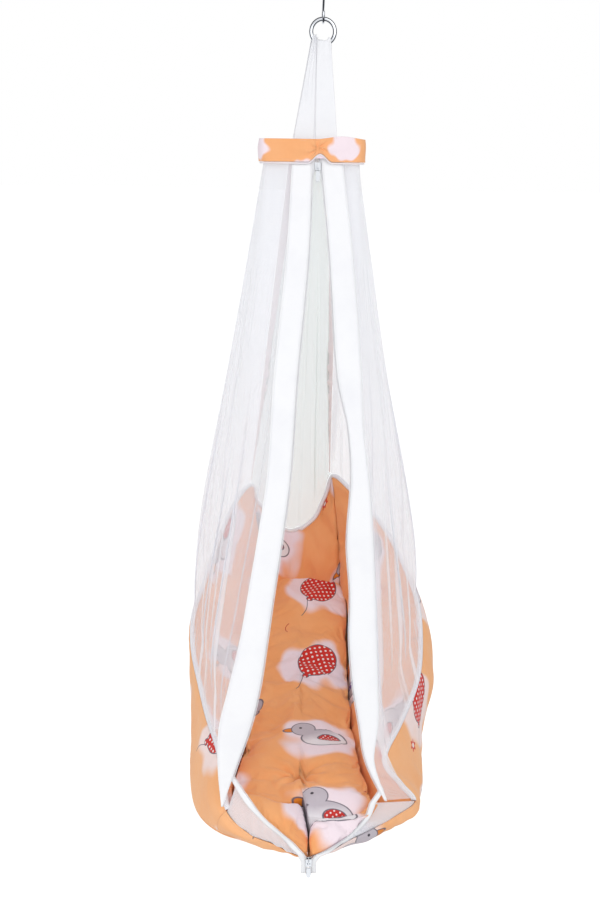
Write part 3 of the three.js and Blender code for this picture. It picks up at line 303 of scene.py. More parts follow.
@dataclass(frozen=True)
class TubForm:
    """The tub's outline, walls and floor."""

    rim_half_width: float = 205.0
    floor_half_width: float = 190.035
    foot_reach: float = 402.0
    head_reach: float = 352.0
    ear_height: float = 350.0
    head_rise: float = 130.0
    foot_rise: float = 19.0
    tent_drop: float = 955.0
    flat_from: float = -0.3
    left_bulge: float = 5.0
    right_bulge: float = 27.0
    cover_cloth: float = 1.6
    base_cloth: float = 2.0
    seat: float = 0.3
    padding_at_rim: float = 6.0
    binding_height: float = 5.0
    kerb_share: float = 0.28

    @property
    def padding_inset(self) -> float:
        """From the cover's outer face to the padding's."""
        return self.cover_cloth + self.seat

    @property
    def base_top(self) -> float:
        """The floor's upper side over its underside."""
        return self.base_cloth + 2 * self.seat

    def reach(self, share: Array) -> Array:
        """y from a share of the foot's reach (below 0) or the head's."""
        return share * np.where(share < 0, self.foot_reach, self.head_reach)

    def floor_z(self, y: Array, layer: Array | float) -> Array:
        """The floor's height: level in the middle, rising with the square of the way to either end."""
        start = self.flat_from * self.foot_reach
        head = self.head_rise * (np.maximum(y - start, 0) / (self.head_reach - start)) ** 2
        foot = self.foot_rise * (np.maximum(start - y, 0) / (self.foot_reach + start)) ** 2
        return head + foot + layer - self.tent_drop

    def rim(self, station: Array | float) -> Array:
        """The curve through the rim's stations."""
        x, y, z = WALL_SHARES[:, 0], WALL_SHARES[:, 1], WALL_SHARES[:, 2]
        points = xyz(x * self.rim_half_width, self.reach(y), z * self.ear_height - self.tent_drop)
        return curve_at(points, station)

    def floor_edge(self, station: Array | float) -> Array:
        """The curve through the floor edge's stations."""
        y = self.reach(WALL_SHARES[:, 4])
        return curve_at(xyz(WALL_SHARES[:, 3] * self.floor_half_width, y, self.floor_z(y, self.base_top)), station)

    def bed_edge(self, station: Array | float) -> Array:
        """The curve through the mattress edge's stations, with z 0."""
        return curve_at(xyz(WALL_SHARES[:, 5] * self.rim_half_width, self.reach(WALL_SHARES[:, 6])), station)

    def wall(self, station: Array, rise: Array) -> Array:
        """The wall's outer face: straight from the floor's edge to the rim, plus a bulge of 4 r (1 - r)."""
        low, high = station - 0.02, station + 0.02
        run = (self.rim(high) + self.floor_edge(high)) - (self.rim(low) + self.floor_edge(low))
        outward = unit(xyz(-run[..., 1], run[..., 0]))
        depth = np.where(station > (LEFT_EAR + RIGHT_EAR) / 2, self.right_bulge, self.left_bulge)
        bulge = table_at(BULGE_SHARES, station, 1) * depth * 4 * rise * (1 - rise)
        return mix(self.floor_edge(station), self.rim(station), rise) + outward * bulge[..., None]

    def wall_normal(self, station: Array, rise: Array) -> Array:
        """The wall's outward unit normal, by small differences."""
        step = 0.01
        along = self.wall(np.minimum(station + step, LAST), rise) - self.wall(np.maximum(station - step, 0), rise)
        up = self.wall(station, rise + step) - self.wall(station, rise - step)
        return unit(np.cross(up, along))

    def inset(self, station: Array, rise: Array, depth: Array | float) -> Array:
        """The wall set in by a depth and kept above the floor cloth."""
        station, rise = np.broadcast_arrays(np.asarray(station, float), np.asarray(rise, float))
        depths = np.broadcast_to(np.asarray(depth, float), station.shape)[..., None]
        points = self.wall(station, rise) - self.wall_normal(station, rise) * depths
        points[..., 2] = np.maximum(points[..., 2], self.floor_z(points[..., 1], self.base_top))
        return points

    def rim_up(self, station: Array) -> Array:
        """The direction off the rim, square to its line and to the wall's normal."""
        station = np.asarray(station, float)
        step = 0.01
        along = self.rim(np.minimum(station + step, LAST)) - self.rim(np.maximum(station - step, 0))
        return unit(np.cross(along, self.wall_normal(station, 1.0)))

    def stations(self, start: float, end: float, gap: float = 0.3) -> Callable[[Array], Array]:
        """Stations between two seams from a share of the way, short of each by half a gap."""

        def pace(place: float) -> float:
            """Millimetres for one station, on the shorter of rim and floor edge."""
            rim = np.linalg.norm(self.rim(place + 0.05) - self.rim(place - 0.05))
            edge = np.linalg.norm(self.floor_edge(place + 0.05) - self.floor_edge(place - 0.05))
            return 10 * min(rim, edge)

        first = start + gap / 2 / pace(max(start, 0.06))
        final = end - gap / 2 / pace(min(end, LAST - 0.06))
        return lambda share: first + (final - first) * share

    def padding_face(self, station: Array, rise: Array) -> Array:
        """The padding's inner face: upright beside the mattress, then leaning out to the rim by a power of 1.3."""
        kerb = self.bed_edge(station)
        rim = self.inset(station, 1.0, self.padding_inset + self.padding_at_rim)
        points = mix(kerb, rim, over_end(rise, self.kerb_share) ** 1.3)
        foot = self.floor_z(kerb[..., 1], self.base_top)
        points[..., 2] = foot + (rim[..., 2] - foot) * rise
        return points

    def net_foot(self, station: Array) -> Array:
        """The line on the binding where the net stands."""
        lift = self.binding_height + 3 * self.seat
        return self.inset(station, 1.0, self.cover_cloth) + self.rim_up(station) * lift


TUB = TubForm()

LEFT_STRIP = np.array([
    [0, -0.015, -0.16], [0.15, -0.04, -0.2], [0.34, -0.117, -0.285], [0.42, -0.14, -0.305], [0.5, -0.166, -0.332],
    [0.6, -0.224, -0.4], [0.68, -0.278, -0.46], [0.75, -0.322, -0.515], [0.82, -0.37, -0.59], [0.88, -0.434, -0.655],
    [0.94, -0.53, -0.66], [1, -0.622, -0.634],
])
RIGHT_STRIP = np.array([
    [0, 0.05, 0.205], [0.15, 0.112, 0.278], [0.34, 0.17, 0.341], [0.42, 0.245, 0.353], [0.5, 0.268, 0.392],
    [0.6, 0.24, 0.424], [0.68, 0.263, 0.439], [0.75, 0.258, 0.45], [0.82, 0.283, 0.459], [0.88, 0.327, 0.463],
    [0.94, 0.376, 0.435], [1, 0.505, 0.525],
])
LEFT_FOOT_ZIP = np.array([
    [-0.525, -0.815, 0.289], [-0.44, -0.87, 0.246], [-0.35, -0.915, 0.203], [-0.245, -0.955, 0.171],
    [-0.15, -0.985, 0.14], [-0.075, -1, 0.103],
])
RIGHT_FOOT_ZIP = np.array([
    [0.41, -0.838, 0.203], [0.37, -0.885, 0.173], [0.3, -0.925, 0.149], [0.225, -0.955, 0.13],
    [0.11, -0.988, 0.108], [0.02, -1, 0.095],
])


@dataclass(frozen=True)
class TentForm:
    """The collar's outline, the plane of the front strips, the zip's way and the nets' edges."""

    collar_width: float = 154.0
    collar_depth: float = 130.0
    collar_height: float = 32.0
    collar_corner: float = 16.0
    collar_arch: float = 12.0
    collar_peak: float = 4.0
    lining_inset: float = 5.1
    piping: float = 2.4
    strip_cloth: float = 1.6
    seat: float = 0.3
    zip_tape: float = 7.0
    zip_cloth: float = 0.8
    coil_width: float = 2.4
    coil_depth: float = 2.6
    slot: float = 2.0
    tuck: float = 15.0
    foot_chain: float = 18.0
    slider: float = 11.0
    net_cloth: float = 0.8
    net_tuck: float = 8.0
    back_tape: float = 15.0
    back_taper: float = 0.15
    net_turn: float = 13 / 14
    foot_turn: float = 0.4
    foot_fade: float = 0.6
    zip_points: int = 420
    net_share: float = 0.25
    sewn_share: float = 0.62
    arch_middle: float = 0.052
    arch_reach: float = 0.12
    peak_middle: float = 0.26
    peak_reach: float = 0.24
    strip_reach: float = 0.8436
    left_end: float = 0.199
    right_end: float = 0.216
    left_leave: float = 0.955
    right_leave: float = 0.985
    zip_x: float = 0.024
    tip_x: float = -0.032
    tip_z: float = 0.067

    @property
    def collar_shift(self) -> float:
        """The collar's middle from the tent's."""
        return -0.02 * self.collar_width

    @property
    def strip_y(self) -> float:
        """y of the strips' front face at the collar's lower edge."""
        return -self.collar_depth / 2 + self.lining_inset + self.seat

    @property
    def strip_lean(self) -> float:
        """Millimetres forward for each one down."""
        return (self.strip_reach * TUB.foot_reach + self.strip_y) / self.drop(Side.LEFT)

    @property
    def strip_back(self) -> Array:
        """The unit direction square to the strips, into the tent."""
        return unit(np.array([0.0, 1.0, -self.strip_lean]))

    @property
    def net_top(self) -> float:
        """Height of the nets' upper edge, inside the collar."""
        return self.collar_height * self.net_share

    @property
    def sewn_top(self) -> float:
        """Height inside the collar where the strips end and the hanging tapes are sewn on."""
        return self.collar_height * self.sewn_share

    def drop(self, side: Side) -> float:
        """Length of a strip, measured straight down."""
        return TUB.tent_drop - (self.left_end if side is Side.LEFT else self.right_end) * TUB.ear_height

    def strip(self, side: Side, place: Array, column: int, share: Array | float = 0.0) -> Array:
        """A strip's face: its tables' x at a place, 0 at the collar and 1 at the tub, on the leaning plane.

        Args:
            side: which strip.
            place: shares of its length; below 0 the strip runs straight on up.
            column: 1 for the inner edge and 2 for the outer.
            share: with column 1, the share of the way across to the outer edge.

        Returns:
            Points in place's shape.
        """
        table = LEFT_STRIP if side is Side.LEFT else RIGHT_STRIP
        held = np.maximum(place, 0)
        x = table_at(table, held, column)
        x = (x + (table_at(table, held, 2) - x) * share) * TUB.rim_half_width
        z = -place * self.drop(side)
        return xyz(x, self.strip_y + self.strip_lean * z, z)

    def outline(self, inset: float, place: Array) -> Array:
        """The collar's rounded rectangle, set in; places 0 to 4 go once round by length, from the back's middle."""
        radius = max(self.collar_corner - inset, 0.8)
        flat_x, flat_y = self.collar_width / 2 - inset - radius, self.collar_depth / 2 - inset - radius
        turn = np.linspace(math.pi / 2, 0, 24)
        arcs = [
            np.stack([sx * flat_x + radius * np.cos(turn + add), sy * flat_y + radius * np.sin(turn + add)], 1)
            for sx, sy, add in ((1, 1, 0), (1, -1, -math.pi / 2), (-1, -1, -math.pi), (-1, 1, -math.pi * 1.5))
        ]
        start = np.array([[0, flat_y + radius]])
        line = np.vstack([start, *arcs, start])
        length = run_lengths(line)
        spot = np.mod(np.asarray(place, float) / 4, 1) * length[-1]
        return xyz(np.interp(spot, length, line[:, 0]), np.interp(spot, length, line[:, 1]))

    def outline_place(self, inset: float, x: float, front: bool) -> float:
        """The place on the inset outline's front or back run whose x is given."""
        places = np.linspace(1.2, 2.8, 400) if front else np.linspace(-0.8, 0.8, 400)
        found = self.outline(inset, places)[:, 0] + self.collar_shift
        return float(np.interp(-x, -found, places) if front else np.interp(x, found, places))

    def swell(self, points: Array, middle: float, reach: float, height: float) -> Array:
        """A smooth hill on the collar's front, with its middle and reach as shares of the width."""
        front = points[..., 1] < -self.collar_depth / 2 + self.collar_corner
        share = np.minimum(np.abs(points[..., 0] - middle * self.collar_width) / (reach * self.collar_width), 1)
        return np.where(front, height * (1 - smooth(share)), 0)

    def lower_edge(self, points: Array) -> Array:
        """The collar's lower edge: 0, but an arch over the zip at its front."""
        return self.swell(points, self.arch_middle, self.arch_reach, self.collar_arch)

    def upper_edge(self, points: Array) -> Array:
        """The collar's upper edge, with a low peak beside the right tape."""
        return self.collar_height + self.swell(points, self.peak_middle, self.peak_reach, self.collar_peak)

    def back_line(self, side: Side) -> Callable[[Array, float, float, float], Array]:
        """A back tape's frame: a function of place down it, edge (-1 to 1), distance beside it and depth."""
        lean = (TUB.head_reach - self.collar_depth / 2) / (TUB.tent_drop - TUB.ear_height)
        clear = self.piping + 3 * self.seat + self.net_cloth + lean * (self.net_top + 2 * self.piping)
        top_x = (-0.36 if side is Side.LEFT else 0.46) * self.collar_width / 2
        top = np.array([top_x, self.collar_depth / 2 - clear - self.back_tape / 4, self.net_top])
        ear = float(LEFT_EAR if side is Side.LEFT else RIGHT_EAR)
        tip = TUB.wall(ear, 1.0) + TUB.rim_up(ear) * (TUB.binding_height + self.back_tape / 2)
        tip = tip - TUB.wall_normal(ear, 1.0) * TUB.padding_at_rim / 2
        run, outward = tip - top, unit(np.array([side.value * 0.45, 1.0, 0.0]))
        across = unit(np.cross(run, outward)) * side.value
        out = unit(np.cross(across, run)) * side.value
        out = -out if out @ outward < 0 else out
        across = -across if across[0] * side.value < 0 else across

        def at(place: Array, edge: float, beside: float = 0.0, depth: float = 0.0) -> Array:
            """A point of the tape or beside it."""
            width = self.back_tape * (1 + (self.back_taper - 1) * smooth(place))
            aside = np.asarray(edge * (width / 2 + beside))[..., None]
            return mix(top, tip, place) + across * aside - out * depth

        return at

    def foot_line(self, side: Side) -> Callable[[Array], tuple[Array, Array, Array]]:
        """The foot's zip line: a function of the way along it that gives points, directions across and back."""
        shares = LEFT_FOOT_ZIP if side is Side.LEFT else RIGHT_FOOT_ZIP
        x, y, z = shares[:, 0], shares[:, 1], shares[:, 2]
        points = xyz(x * TUB.rim_half_width, TUB.reach(y), z * TUB.ear_height - TUB.tent_drop)
        spans = len(points) - 1
        sideways = np.array([float(side.value), 0, 0])

        def at(along: Array) -> tuple[Array, Array, Array]:
            """Points, unit vectors across the tape and unit vectors into the cradle."""
            along = np.asarray(along, float)
            point = curve_at(points, along * spans)
            run = curve_at(points, (along + 0.01) * spans) - curve_at(points, (along - 0.01) * spans)
            width = unit(TUB.rim(self.foot_station(side, along)) - point)
            back = unit(np.cross(run, width) * -side.value)
            turn = smooth(along / self.foot_turn)
            fade = smooth((along - self.foot_fade) / (1 - self.foot_fade))
            return (
                point,
                unit(mix(mix(sideways, width, turn), sideways, fade)),
                unit(mix(mix(self.strip_back, back, turn), np.array([0.0, 1.0, 0.0]), fade)),
            )

        return at

    def foot_station(self, side: Side, share: Array) -> Array:
        """The rim station that faces a place on the foot's zip line."""
        return LEFT_CORNER * (1 - share) if side is Side.LEFT else RIGHT_CORNER + (LAST - RIGHT_CORNER) * share

    def zip_way(self, side: Side) -> tuple[Array, Array, Array]:
        """The zip half's whole way: closed in the collar, down the strip's edge, along the foot, closed at the tip."""
        drop, sign = self.drop(side), side.value
        reach = self.coil_width + self.seat
        leave = self.left_leave if side is Side.LEFT else self.right_leave
        place = np.concatenate([np.linspace(-self.tuck / drop, 0.03, 24), np.linspace(0.034, leave, 150)])
        upper = self.strip(side, place, 1)
        closed = self.zip_x * TUB.rim_half_width + sign * (self.slot / 2 + reach)
        upper[:, 0] = closed + (upper[:, 0] - closed) * smooth(place * drop / (2 * self.slider))
        foot, foot_width, foot_back = self.foot_line(side)(np.linspace(0, 1, 70))
        z = self.tip_z * TUB.ear_height - TUB.tent_drop - np.linspace(0, 1, 10) * self.foot_chain
        x = self.tip_x * TUB.rim_half_width + sign * (self.slot / 2 + reach)
        lower = xyz(x, -TUB.foot_reach - self.seat, z)
        sideways = np.array([float(sign), 0, 0])
        points = np.vstack([upper, foot, lower])
        width = np.vstack([np.tile(sideways, (len(upper), 1)), foot_width, np.tile(sideways, (len(lower), 1))])
        back = np.vstack([
            np.tile(self.strip_back, (len(upper), 1)), foot_back, np.tile([0.0, 1.0, 0.0], (len(lower), 1)),
        ])
        count = self.zip_points
        return resampled(points, count), unit(resampled(points, count, width)), unit(resampled(points, count, back))

    @property
    def zip_layer(self) -> float:
        """Depth of the zip's tape behind the strip's face."""
        return self.strip_cloth + self.seat

    @property
    def net_layer(self) -> float:
        """Depth of the nets behind the strip's face."""
        return self.zip_layer + self.zip_cloth + 4 * self.seat


TENT = TentForm()


def patch_between(
    foot: Callable, head: Callable, left: Callable, right: Callable, ease: Callable[[Array], Array] = np.asarray,
    soft: tuple[Callable, Callable] | None = None,
) -> Callable[[Array, Array], Array]:
    """A patch between four edge curves: foot and head run with c, left and right with r.

    The point at (r, c) is foot to head plus left to right, less the plane patch of the four corners. The ease says how
    far from the left edge its curve still pulls the patch. Soft curves stand in for left and right away from them.
    """

    def at(r: Array, c: Array) -> Array:
        """Points of the patch."""
        along = mix(foot(c), head(c), r)
        eased = ease(c)
        low, high = left(r), right(r)
        if soft:
            low, high = mix(low, soft[0](r), smooth(c / 0.12)), mix(high, soft[1](r), smooth((1 - c) / 0.12))
        across = mix(low, high, eased)
        corners = mix(mix(foot(0.0), foot(1.0), eased), mix(head(0.0), head(1.0), eased), r)
        return along + across - corners

    return at


# ---------------------------------------------------------------------------------------------------------------
# Meshes


def grid_faces(rows: int, columns: int, ring: bool = False, start: int = 0) -> Array:
    """Quads of a grid of rows * columns points; a ring joins its last row to its first."""
    i, j = np.meshgrid(np.arange(rows if ring else rows - 1), np.arange(columns - 1), indexing="ij")
    after = (i + 1) % rows
    corners = [i * columns + j, after * columns + j, after * columns + j + 1, i * columns + j + 1]
    return np.stack(corners, -1).reshape(-1, 4) + start


def linked(name: str, data: bpy.types.ID) -> Piece:
    """A new object with its data, in the scene."""
    made = bpy.data.objects.new(name, data)
    bpy.context.scene.collection.objects.link(made)
    return made


def new_piece(
    name: str, points: Array, faces: Array, uv: Array | None = None, inside: Array | None = None,
) -> Piece:
    """Makes a piece from points of the tent's frame.

    Args:
        name: the piece's name.
        points: any array of points in millimetres, flattened in order.
        faces: rows of 3 or 4 point numbers.
        uv: cloth coordinates in metres for each point, kept in the UV map "cloth".
        inside: a point that the faces look away from; without it, the mesh is closed and its volume is made positive.

    Returns:
        The object, at the origin.
    """
    flat = points.reshape(-1, 3)
    centre = flat[faces].mean(axis=1)
    normal = np.cross(flat[faces[:, 2]] - flat[faces[:, 0]], flat[faces[:, -1]] - flat[faces[:, 1]])
    origin = flat.mean(axis=0) if inside is None else inside
    if np.einsum("ij,ij->", normal, centre - origin) < 0:
        faces = faces[:, ::-1]
    mesh = bpy.data.meshes.new(name)
    mesh.from_pydata(in_part(flat).tolist(), [], faces.tolist())
    mesh.polygons.foreach_set("use_smooth", np.ones(len(mesh.polygons), bool))
    if uv is not None:
        corner = np.empty(len(mesh.loops), np.int32)
        mesh.loops.foreach_get("vertex_index", corner)
        layer = mesh.uv_layers.new(name="cloth")
        layer.data.foreach_set("uv", uv.reshape(-1, 2)[corner].astype(np.float32).ravel())
    mesh.update()
    return linked(name, mesh)


def cloth_uv(points: Array, along: float = 0.0, across: float = 0.0) -> Array:
    """Cloth coordinates of a grid, in metres: length down each row's middle line and across each row."""
    middle = points[:, points.shape[1] // 2]
    u = np.repeat(run_lengths(middle)[:, None], points.shape[1], axis=1)
    steps_across = np.linalg.norm(np.diff(points, axis=1), axis=-1)
    v = np.concatenate([np.zeros((len(points), 1)), np.cumsum(steps_across, axis=1)], axis=1)
    v = v - v[:, points.shape[1] // 2][:, None]
    return np.stack([u * MM + along, v * MM + across], -1)


def shell(name: str, outer: Array, inner: Array, uv: Array | None = None, ring: bool = False) -> Piece:
    """A closed piece between two grids of points with the same rows and columns."""
    rows, columns = outer.shape[:2]
    count = rows * columns
    faces = [grid_faces(rows, columns, ring), grid_faces(rows, columns, ring, count)[:, ::-1]]
    number = np.arange(count).reshape(rows, columns)
    edges = [number[:, 0], number[::-1, -1]] if ring else [
        np.concatenate([number[:, 0], number[-1, 1:], number[-2::-1, -1], number[0, -2::-1]])]
    for edge in edges:
        if ring:
            edge = np.concatenate([edge, edge[:1]])
        faces.append(np.stack([edge[1:], edge[:-1], edge[:-1] + count, edge[1:] + count], -1))
    flat_uv = None if uv is None else np.concatenate([uv.reshape(-1, 2)] * 2)
    points = np.concatenate([outer.reshape(-1, 3), inner.reshape(-1, 3)])
    return new_piece(name, points, np.concatenate(faces), flat_uv)


def sheet(name: str, points: Array, thickness: float, inside: Sequence[float], uv: Array | None = None) -> Piece:
    """One layer of cloth with its inner side grown by Solidify; a thickness of 0 leaves it single."""
    place = cloth_uv(points) if uv is None else uv
    piece = new_piece(name, points, grid_faces(*points.shape[:2]), place, np.array(inside, float))
    if thickness:
        grown = piece.modifiers.new("cloth", "SOLIDIFY")
        grown.thickness, grown.offset = thickness * MM, -1
    return piece


def tube(path: Array, radius: Array | float, sides: int, across: Array, closed: bool = False) -> tuple[Array, Array]:
    """Points and quads of a round tube: each point of a path gets a circle in the plane of two square directions.

    Args:
        path: the middle line's points.
        radius: one radius, or one for each point.
        sides: number of sides.
        across: a direction for each point (or one for all) that isn't along the path.
        closed: whether the path's end joins its start.

    Returns:
        The points, then the quads.
    """
    run = unit(np.roll(path, -1, 0) - np.roll(path, 1, 0)) if closed else unit(np.gradient(path, axis=0))
    first = np.broadcast_to(across, path.shape)
    first = unit(first - run * (first * run).sum(-1, keepdims=True))
    second = np.cross(run, first)
    turn = np.linspace(0, 2 * math.pi, sides + 1)
    size = np.broadcast_to(np.asarray(radius, float), (len(path),))[:, None, None]
    cos, sin = np.cos(turn)[None, :, None], np.sin(turn)[None, :, None]
    points = path[:, None] + size * (first[:, None] * cos + second[:, None] * sin)
    points[:, -1] = points[:, 0]
    return points, grid_faces(len(path), sides + 1, closed)


def tube_piece(name: str, path: Array, radius: float, sides: int, across: Array, closed: bool = False) -> Piece:
    """A tube as a piece, with round ends where it is open: the radius falls as a quarter circle."""
    radii = radius
    if not closed:
        turn = np.linspace(0, math.pi / 2, 7)
        inward = (radius * (1 - np.cos(turn)))[:, None]
        head = path[0] + unit(path[1] - path[0]) * inward
        tail = path[-1] - unit(path[-1] - path[-2]) * inward[::-1]
        caps = np.maximum(np.sin(turn), 0.02) * radius
        length = run_lengths(path)
        body = path[(length > radius * 1.05) & (length < length[-1] - radius * 1.05)]
        path = np.vstack([head, body, tail])
        radii = np.concatenate([caps, np.full(len(body), radius), caps[::-1]])
    piece = new_piece(name, *tube(path, radii, sides, across, closed))
    weld(piece)
    return piece


def weld(piece: Piece, distance: float = 1e-6) -> None:
    """Merges the doubles of a piece's mesh, which closes its seams and poles."""
    work = bmesh.new()
    work.from_mesh(piece.data)
    bmesh.ops.remove_doubles(work, verts=work.verts, dist=distance)
    holes = [edge for edge in work.edges if edge.is_boundary]
    if holes:
        bmesh.ops.holes_fill(work, edges=holes, sides=0)
    bmesh.ops.recalc_face_normals(work, faces=work.faces)
    for face in work.faces:
        face.smooth = True
    work.to_mesh(piece.data)
    work.free()


def thread(
    path: Array, out: Array, pitch: float = 3.2, length: float = 2.3, radius: float = 0.28,
) -> tuple[Array, Array]:
    """A row of sewing stitches: short four-sided grains along a path, whose ends dip into the cloth.

    Each grain has five rings; ring k stands at (k/4 - 1/2) of the length, out by a half circle, with radius r sin.

    Args:
        path: the seam's line on the cloth.
        out: unit vectors off the cloth, one for each point of the path.
        pitch: from stitch to stitch.
        length: of a stitch.
        radius: of the thread.

    Returns:
        The points, then the quads.
    """
    total = run_lengths(path)
    count = max(int(total[-1] / pitch), 1)
    middle = (np.arange(count) + 0.5) * total[-1] / count
    rings = np.linspace(-0.5, 0.5, 5)
    places = np.clip(middle[:, None] + rings[None] * length, 0, total[-1])
    centre, off = read_along(total, path, places), unit(read_along(total, out, places))
    run = unit(np.gradient(centre, axis=1))
    aside = np.cross(run, off)
    swell = np.array([0.35, 0.9, 1, 0.9, 0.35])
    lift = np.array([-0.6, 0.35, 0.6, 0.35, -0.6]) * radius
    centre = centre + off * lift[None, :, None]
    turn = np.linspace(0, 2 * math.pi, 5)[:-1] + math.pi / 4
    ring = off[:, :, None] * np.cos(turn)[:, None] + aside[:, :, None] * np.sin(turn)[:, None]
    points = centre[:, :, None] + ring * (swell * radius)[:, None, None]
    k, s = np.meshgrid(np.arange(4), np.arange(4), indexing="ij")
    one = np.stack([k * 4 + s, (k + 1) * 4 + s, (k + 1) * 4 + (s + 1) % 4, k * 4 + (s + 1) % 4], -1).reshape(-1, 4)
    one = np.concatenate([one, [[3, 2, 1, 0], [16, 17, 18, 19]]])
    return points, (np.arange(count)[:, None, None] * 20 + one[None]).reshape(-1, 4)


def border(number: Array) -> Array:
    """The point numbers round the edge of a grid."""
    return np.concatenate([number[0], number[-1], number[:, 0], number[:, -1]])


def joined(parts: Iterable[tuple[Array, Array]]) -> tuple[Array, Array]:
    """Several sets of points and quads as one."""
    points, faces, start = [], [], 0
    for some, quads in parts:
        flat = some.reshape(-1, 3)
        points.append(flat)
        faces.append(quads + start)
        start += len(flat)
    return np.concatenate(points), np.concatenate(faces)


def stitching(
    name: str, rows: Iterable[tuple[Array, Array]], finish: "Finish", slot: Slot = Slot.COTTON, **sizes: float,
) -> None:
    """One piece with the stitches of several seams."""
    piece = new_piece(name, *joined([thread(path, out, **sizes) for path, out in rows]))
    finished(piece, finish, slot)


# ---------------------------------------------------------------------------------------------------------------
# Finishes


def paint(code: str) -> tuple[float, float, float, float]:
    """A written colour such as #f6a55f as the linear values that a shader takes."""
    parts = [int(code[k:k + 2], 16) / 255 for k in (1, 3, 5)]
    return (*[p / 12.92 if p <= 0.04045 else ((p + 0.055) / 1.055) ** 2.4 for p in parts], 1.0)


def operation(kind: str, turned: bool = False) -> Callable[..., "Signal"]:
    """A method that adds one Math node on a signal and others; turned, the other number comes first."""

    def method(self: "Signal", *others: "Signal | float") -> "Signal":
        """The node's result."""
        numbers = (self, *others)
        return self.sketch.math(kind, *(numbers[::-1] if turned else numbers))

    return method


class Signal:
    """A number in a material that takes part in sums; each sum adds a Math node."""

    __add__ = __radd__ = operation("ADD")
    __sub__, __rsub__ = operation("SUBTRACT"), operation("SUBTRACT", turned=True)
    __mul__ = __rmul__ = operation("MULTIPLY")
    __truediv__ = operation("DIVIDE")
    sin, cos, root = operation("SINE"), operation("COSINE"), operation("SQRT")
    abs, floor, fraction = operation("ABSOLUTE"), operation("FLOOR"), operation("FRACT")
    least, most = operation("MINIMUM"), operation("MAXIMUM")

    def __init__(self, sketch: "Sketch", socket: Socket) -> None:
        """Wraps a socket of a sketch."""
        self.sketch, self.socket = sketch, socket

    def held(self) -> "Signal":
        """Kept from 0 to 1."""
        return self.sketch.math("ADD", self, 0.0, clamp=True)

    def under(self, edge: "Signal | float", soft: float) -> "Signal":
        """1 well below an edge and 0 well above it, with a ramp as wide as soft."""
        below = edge - self if isinstance(edge, Signal) else self * -1.0 + edge
        return (below / soft + 0.5).held()

    def eased(self) -> "Signal":
        """A number from 0 to 1 eased at both ends, 3t^2 - 2t^3."""
        return self * self * (3.0 - self * 2.0)


class Sketch:
    """A material's or world's nodes, built in a maker's order: coordinates, marks, colour, relief, surface."""

    def __init__(self, name: str, world: bool = False) -> None:
        """Starts an empty material or world."""
        self.material = (bpy.data.worlds if world else bpy.data.materials).new(name)
        self.material.use_nodes = True
        self.tree = self.material.node_tree
        self.tree.nodes.clear()
        self.output = self.node("OutputWorld" if world else "OutputMaterial")

    def node(self, kind: str, inputs: dict[str | int, object] | None = None, **settings: object) -> bpy.types.Node:
        """Adds a node, with its settings and its inputs linked or set."""
        made = self.tree.nodes.new(f"ShaderNode{kind}")
        for key, value in settings.items():
            setattr(made, key, value)
        for key, value in (inputs or {}).items():
            self.give(made.inputs[key], value)
        return made

    def give(self, socket: Socket, value: object) -> None:
        """Links a signal or socket to an input, or sets its value."""
        if isinstance(value, Signal):
            value = value.socket
        if isinstance(value, Socket):
            self.tree.links.new(value, socket)
        else:
            socket.default_value = value

    def math(self, kind: str, *values: Signal | float, clamp: bool = False) -> Signal:
        """A Math node."""
        return Signal(self, self.node("Math", dict(enumerate(values)), operation=kind, use_clamp=clamp).outputs[0])

    def cloth(self) -> tuple[Signal, Signal]:
        """The cloth's own coordinates, in millimetres."""
        x, y, _ = self.parts(self.node("UVMap", uv_map="cloth").outputs[0])
        return x * 1000.0, y * 1000.0

    def parts(self, vector: Socket, kind: str = "SeparateXYZ") -> list[Signal]:
        """A vector's or colour's three numbers."""
        return [Signal(self, part) for part in self.node(kind, {0: vector}).outputs]

    def space(self) -> Socket:
        """Object coordinates."""
        return self.node("TexCoord").outputs["Object"]

    def vector(self, x: Signal | float, y: Signal | float, z: Signal | float = 0.0) -> Socket:
        """Three numbers as a vector."""
        return self.node("CombineXYZ", {0: x, 1: y, 2: z}).outputs[0]

    def noise(self, place: Socket, scale: float, detail: float = 2.0, roughness: float = 0.5) -> Signal:
        """Soft noise, about 0.5 in the middle."""
        inputs = {"Vector": place, "Scale": scale, "Detail": detail, "Roughness": roughness}
        return Signal(self, self.node("TexNoise", inputs).outputs[0])

    def over(self, under: object, colour: object, mask: Signal) -> Socket:
        """A colour, written or worked out, laid over another where a mask is 1."""
        under, colour = (paint(c) if isinstance(c, str) else c for c in (under, colour))
        return self.node("Mix", {0: mask, 6: under, 7: colour}, data_type="RGBA").outputs[2]

    def relief(self, height: Signal, strength: float, distance: float, normal: object = None) -> Socket:
        """A Bump node on a height from 0 to 1, with its depth in metres."""
        inputs = {"Height": height, "Strength": strength, "Distance": distance}
        return self.node("Bump", inputs if normal is None else inputs | {"Normal": normal}).outputs[0]

    def shader(self, kind: str, inputs: dict[str | int, object] | None = None) -> Socket:
        """A shader node's result."""
        return self.node(kind, inputs).outputs[0]

    def blend(self, share: Signal | float, first: Socket, second: Socket) -> Socket:
        """Two shaders mixed, the second where the share is 1."""
        return self.shader("MixShader", {0: share, 1: first, 2: second})

    def seen(self) -> Signal:
        """1 for rays from the camera, from a glossy surface or through a clear one."""
        rays = self.node("LightPath").outputs
        camera, glossy, through = (Signal(self, rays[f"Is {k} Ray"]) for k in ("Camera", "Glossy", "Transmission"))
        return camera.most(glossy).most(through)

    def surface(self, shader: Socket) -> bpy.types.ID:
        """Puts a shader on the output and gives the material or world."""
        self.tree.links.new(shader, self.output.inputs[0])
        return self.material

    def principled(self, **inputs: object) -> Socket:
        """A Principled surface; names use _ for a space."""
        return self.shader("BsdfPrincipled", {key.replace("_", " "): value for key, value in inputs.items()})


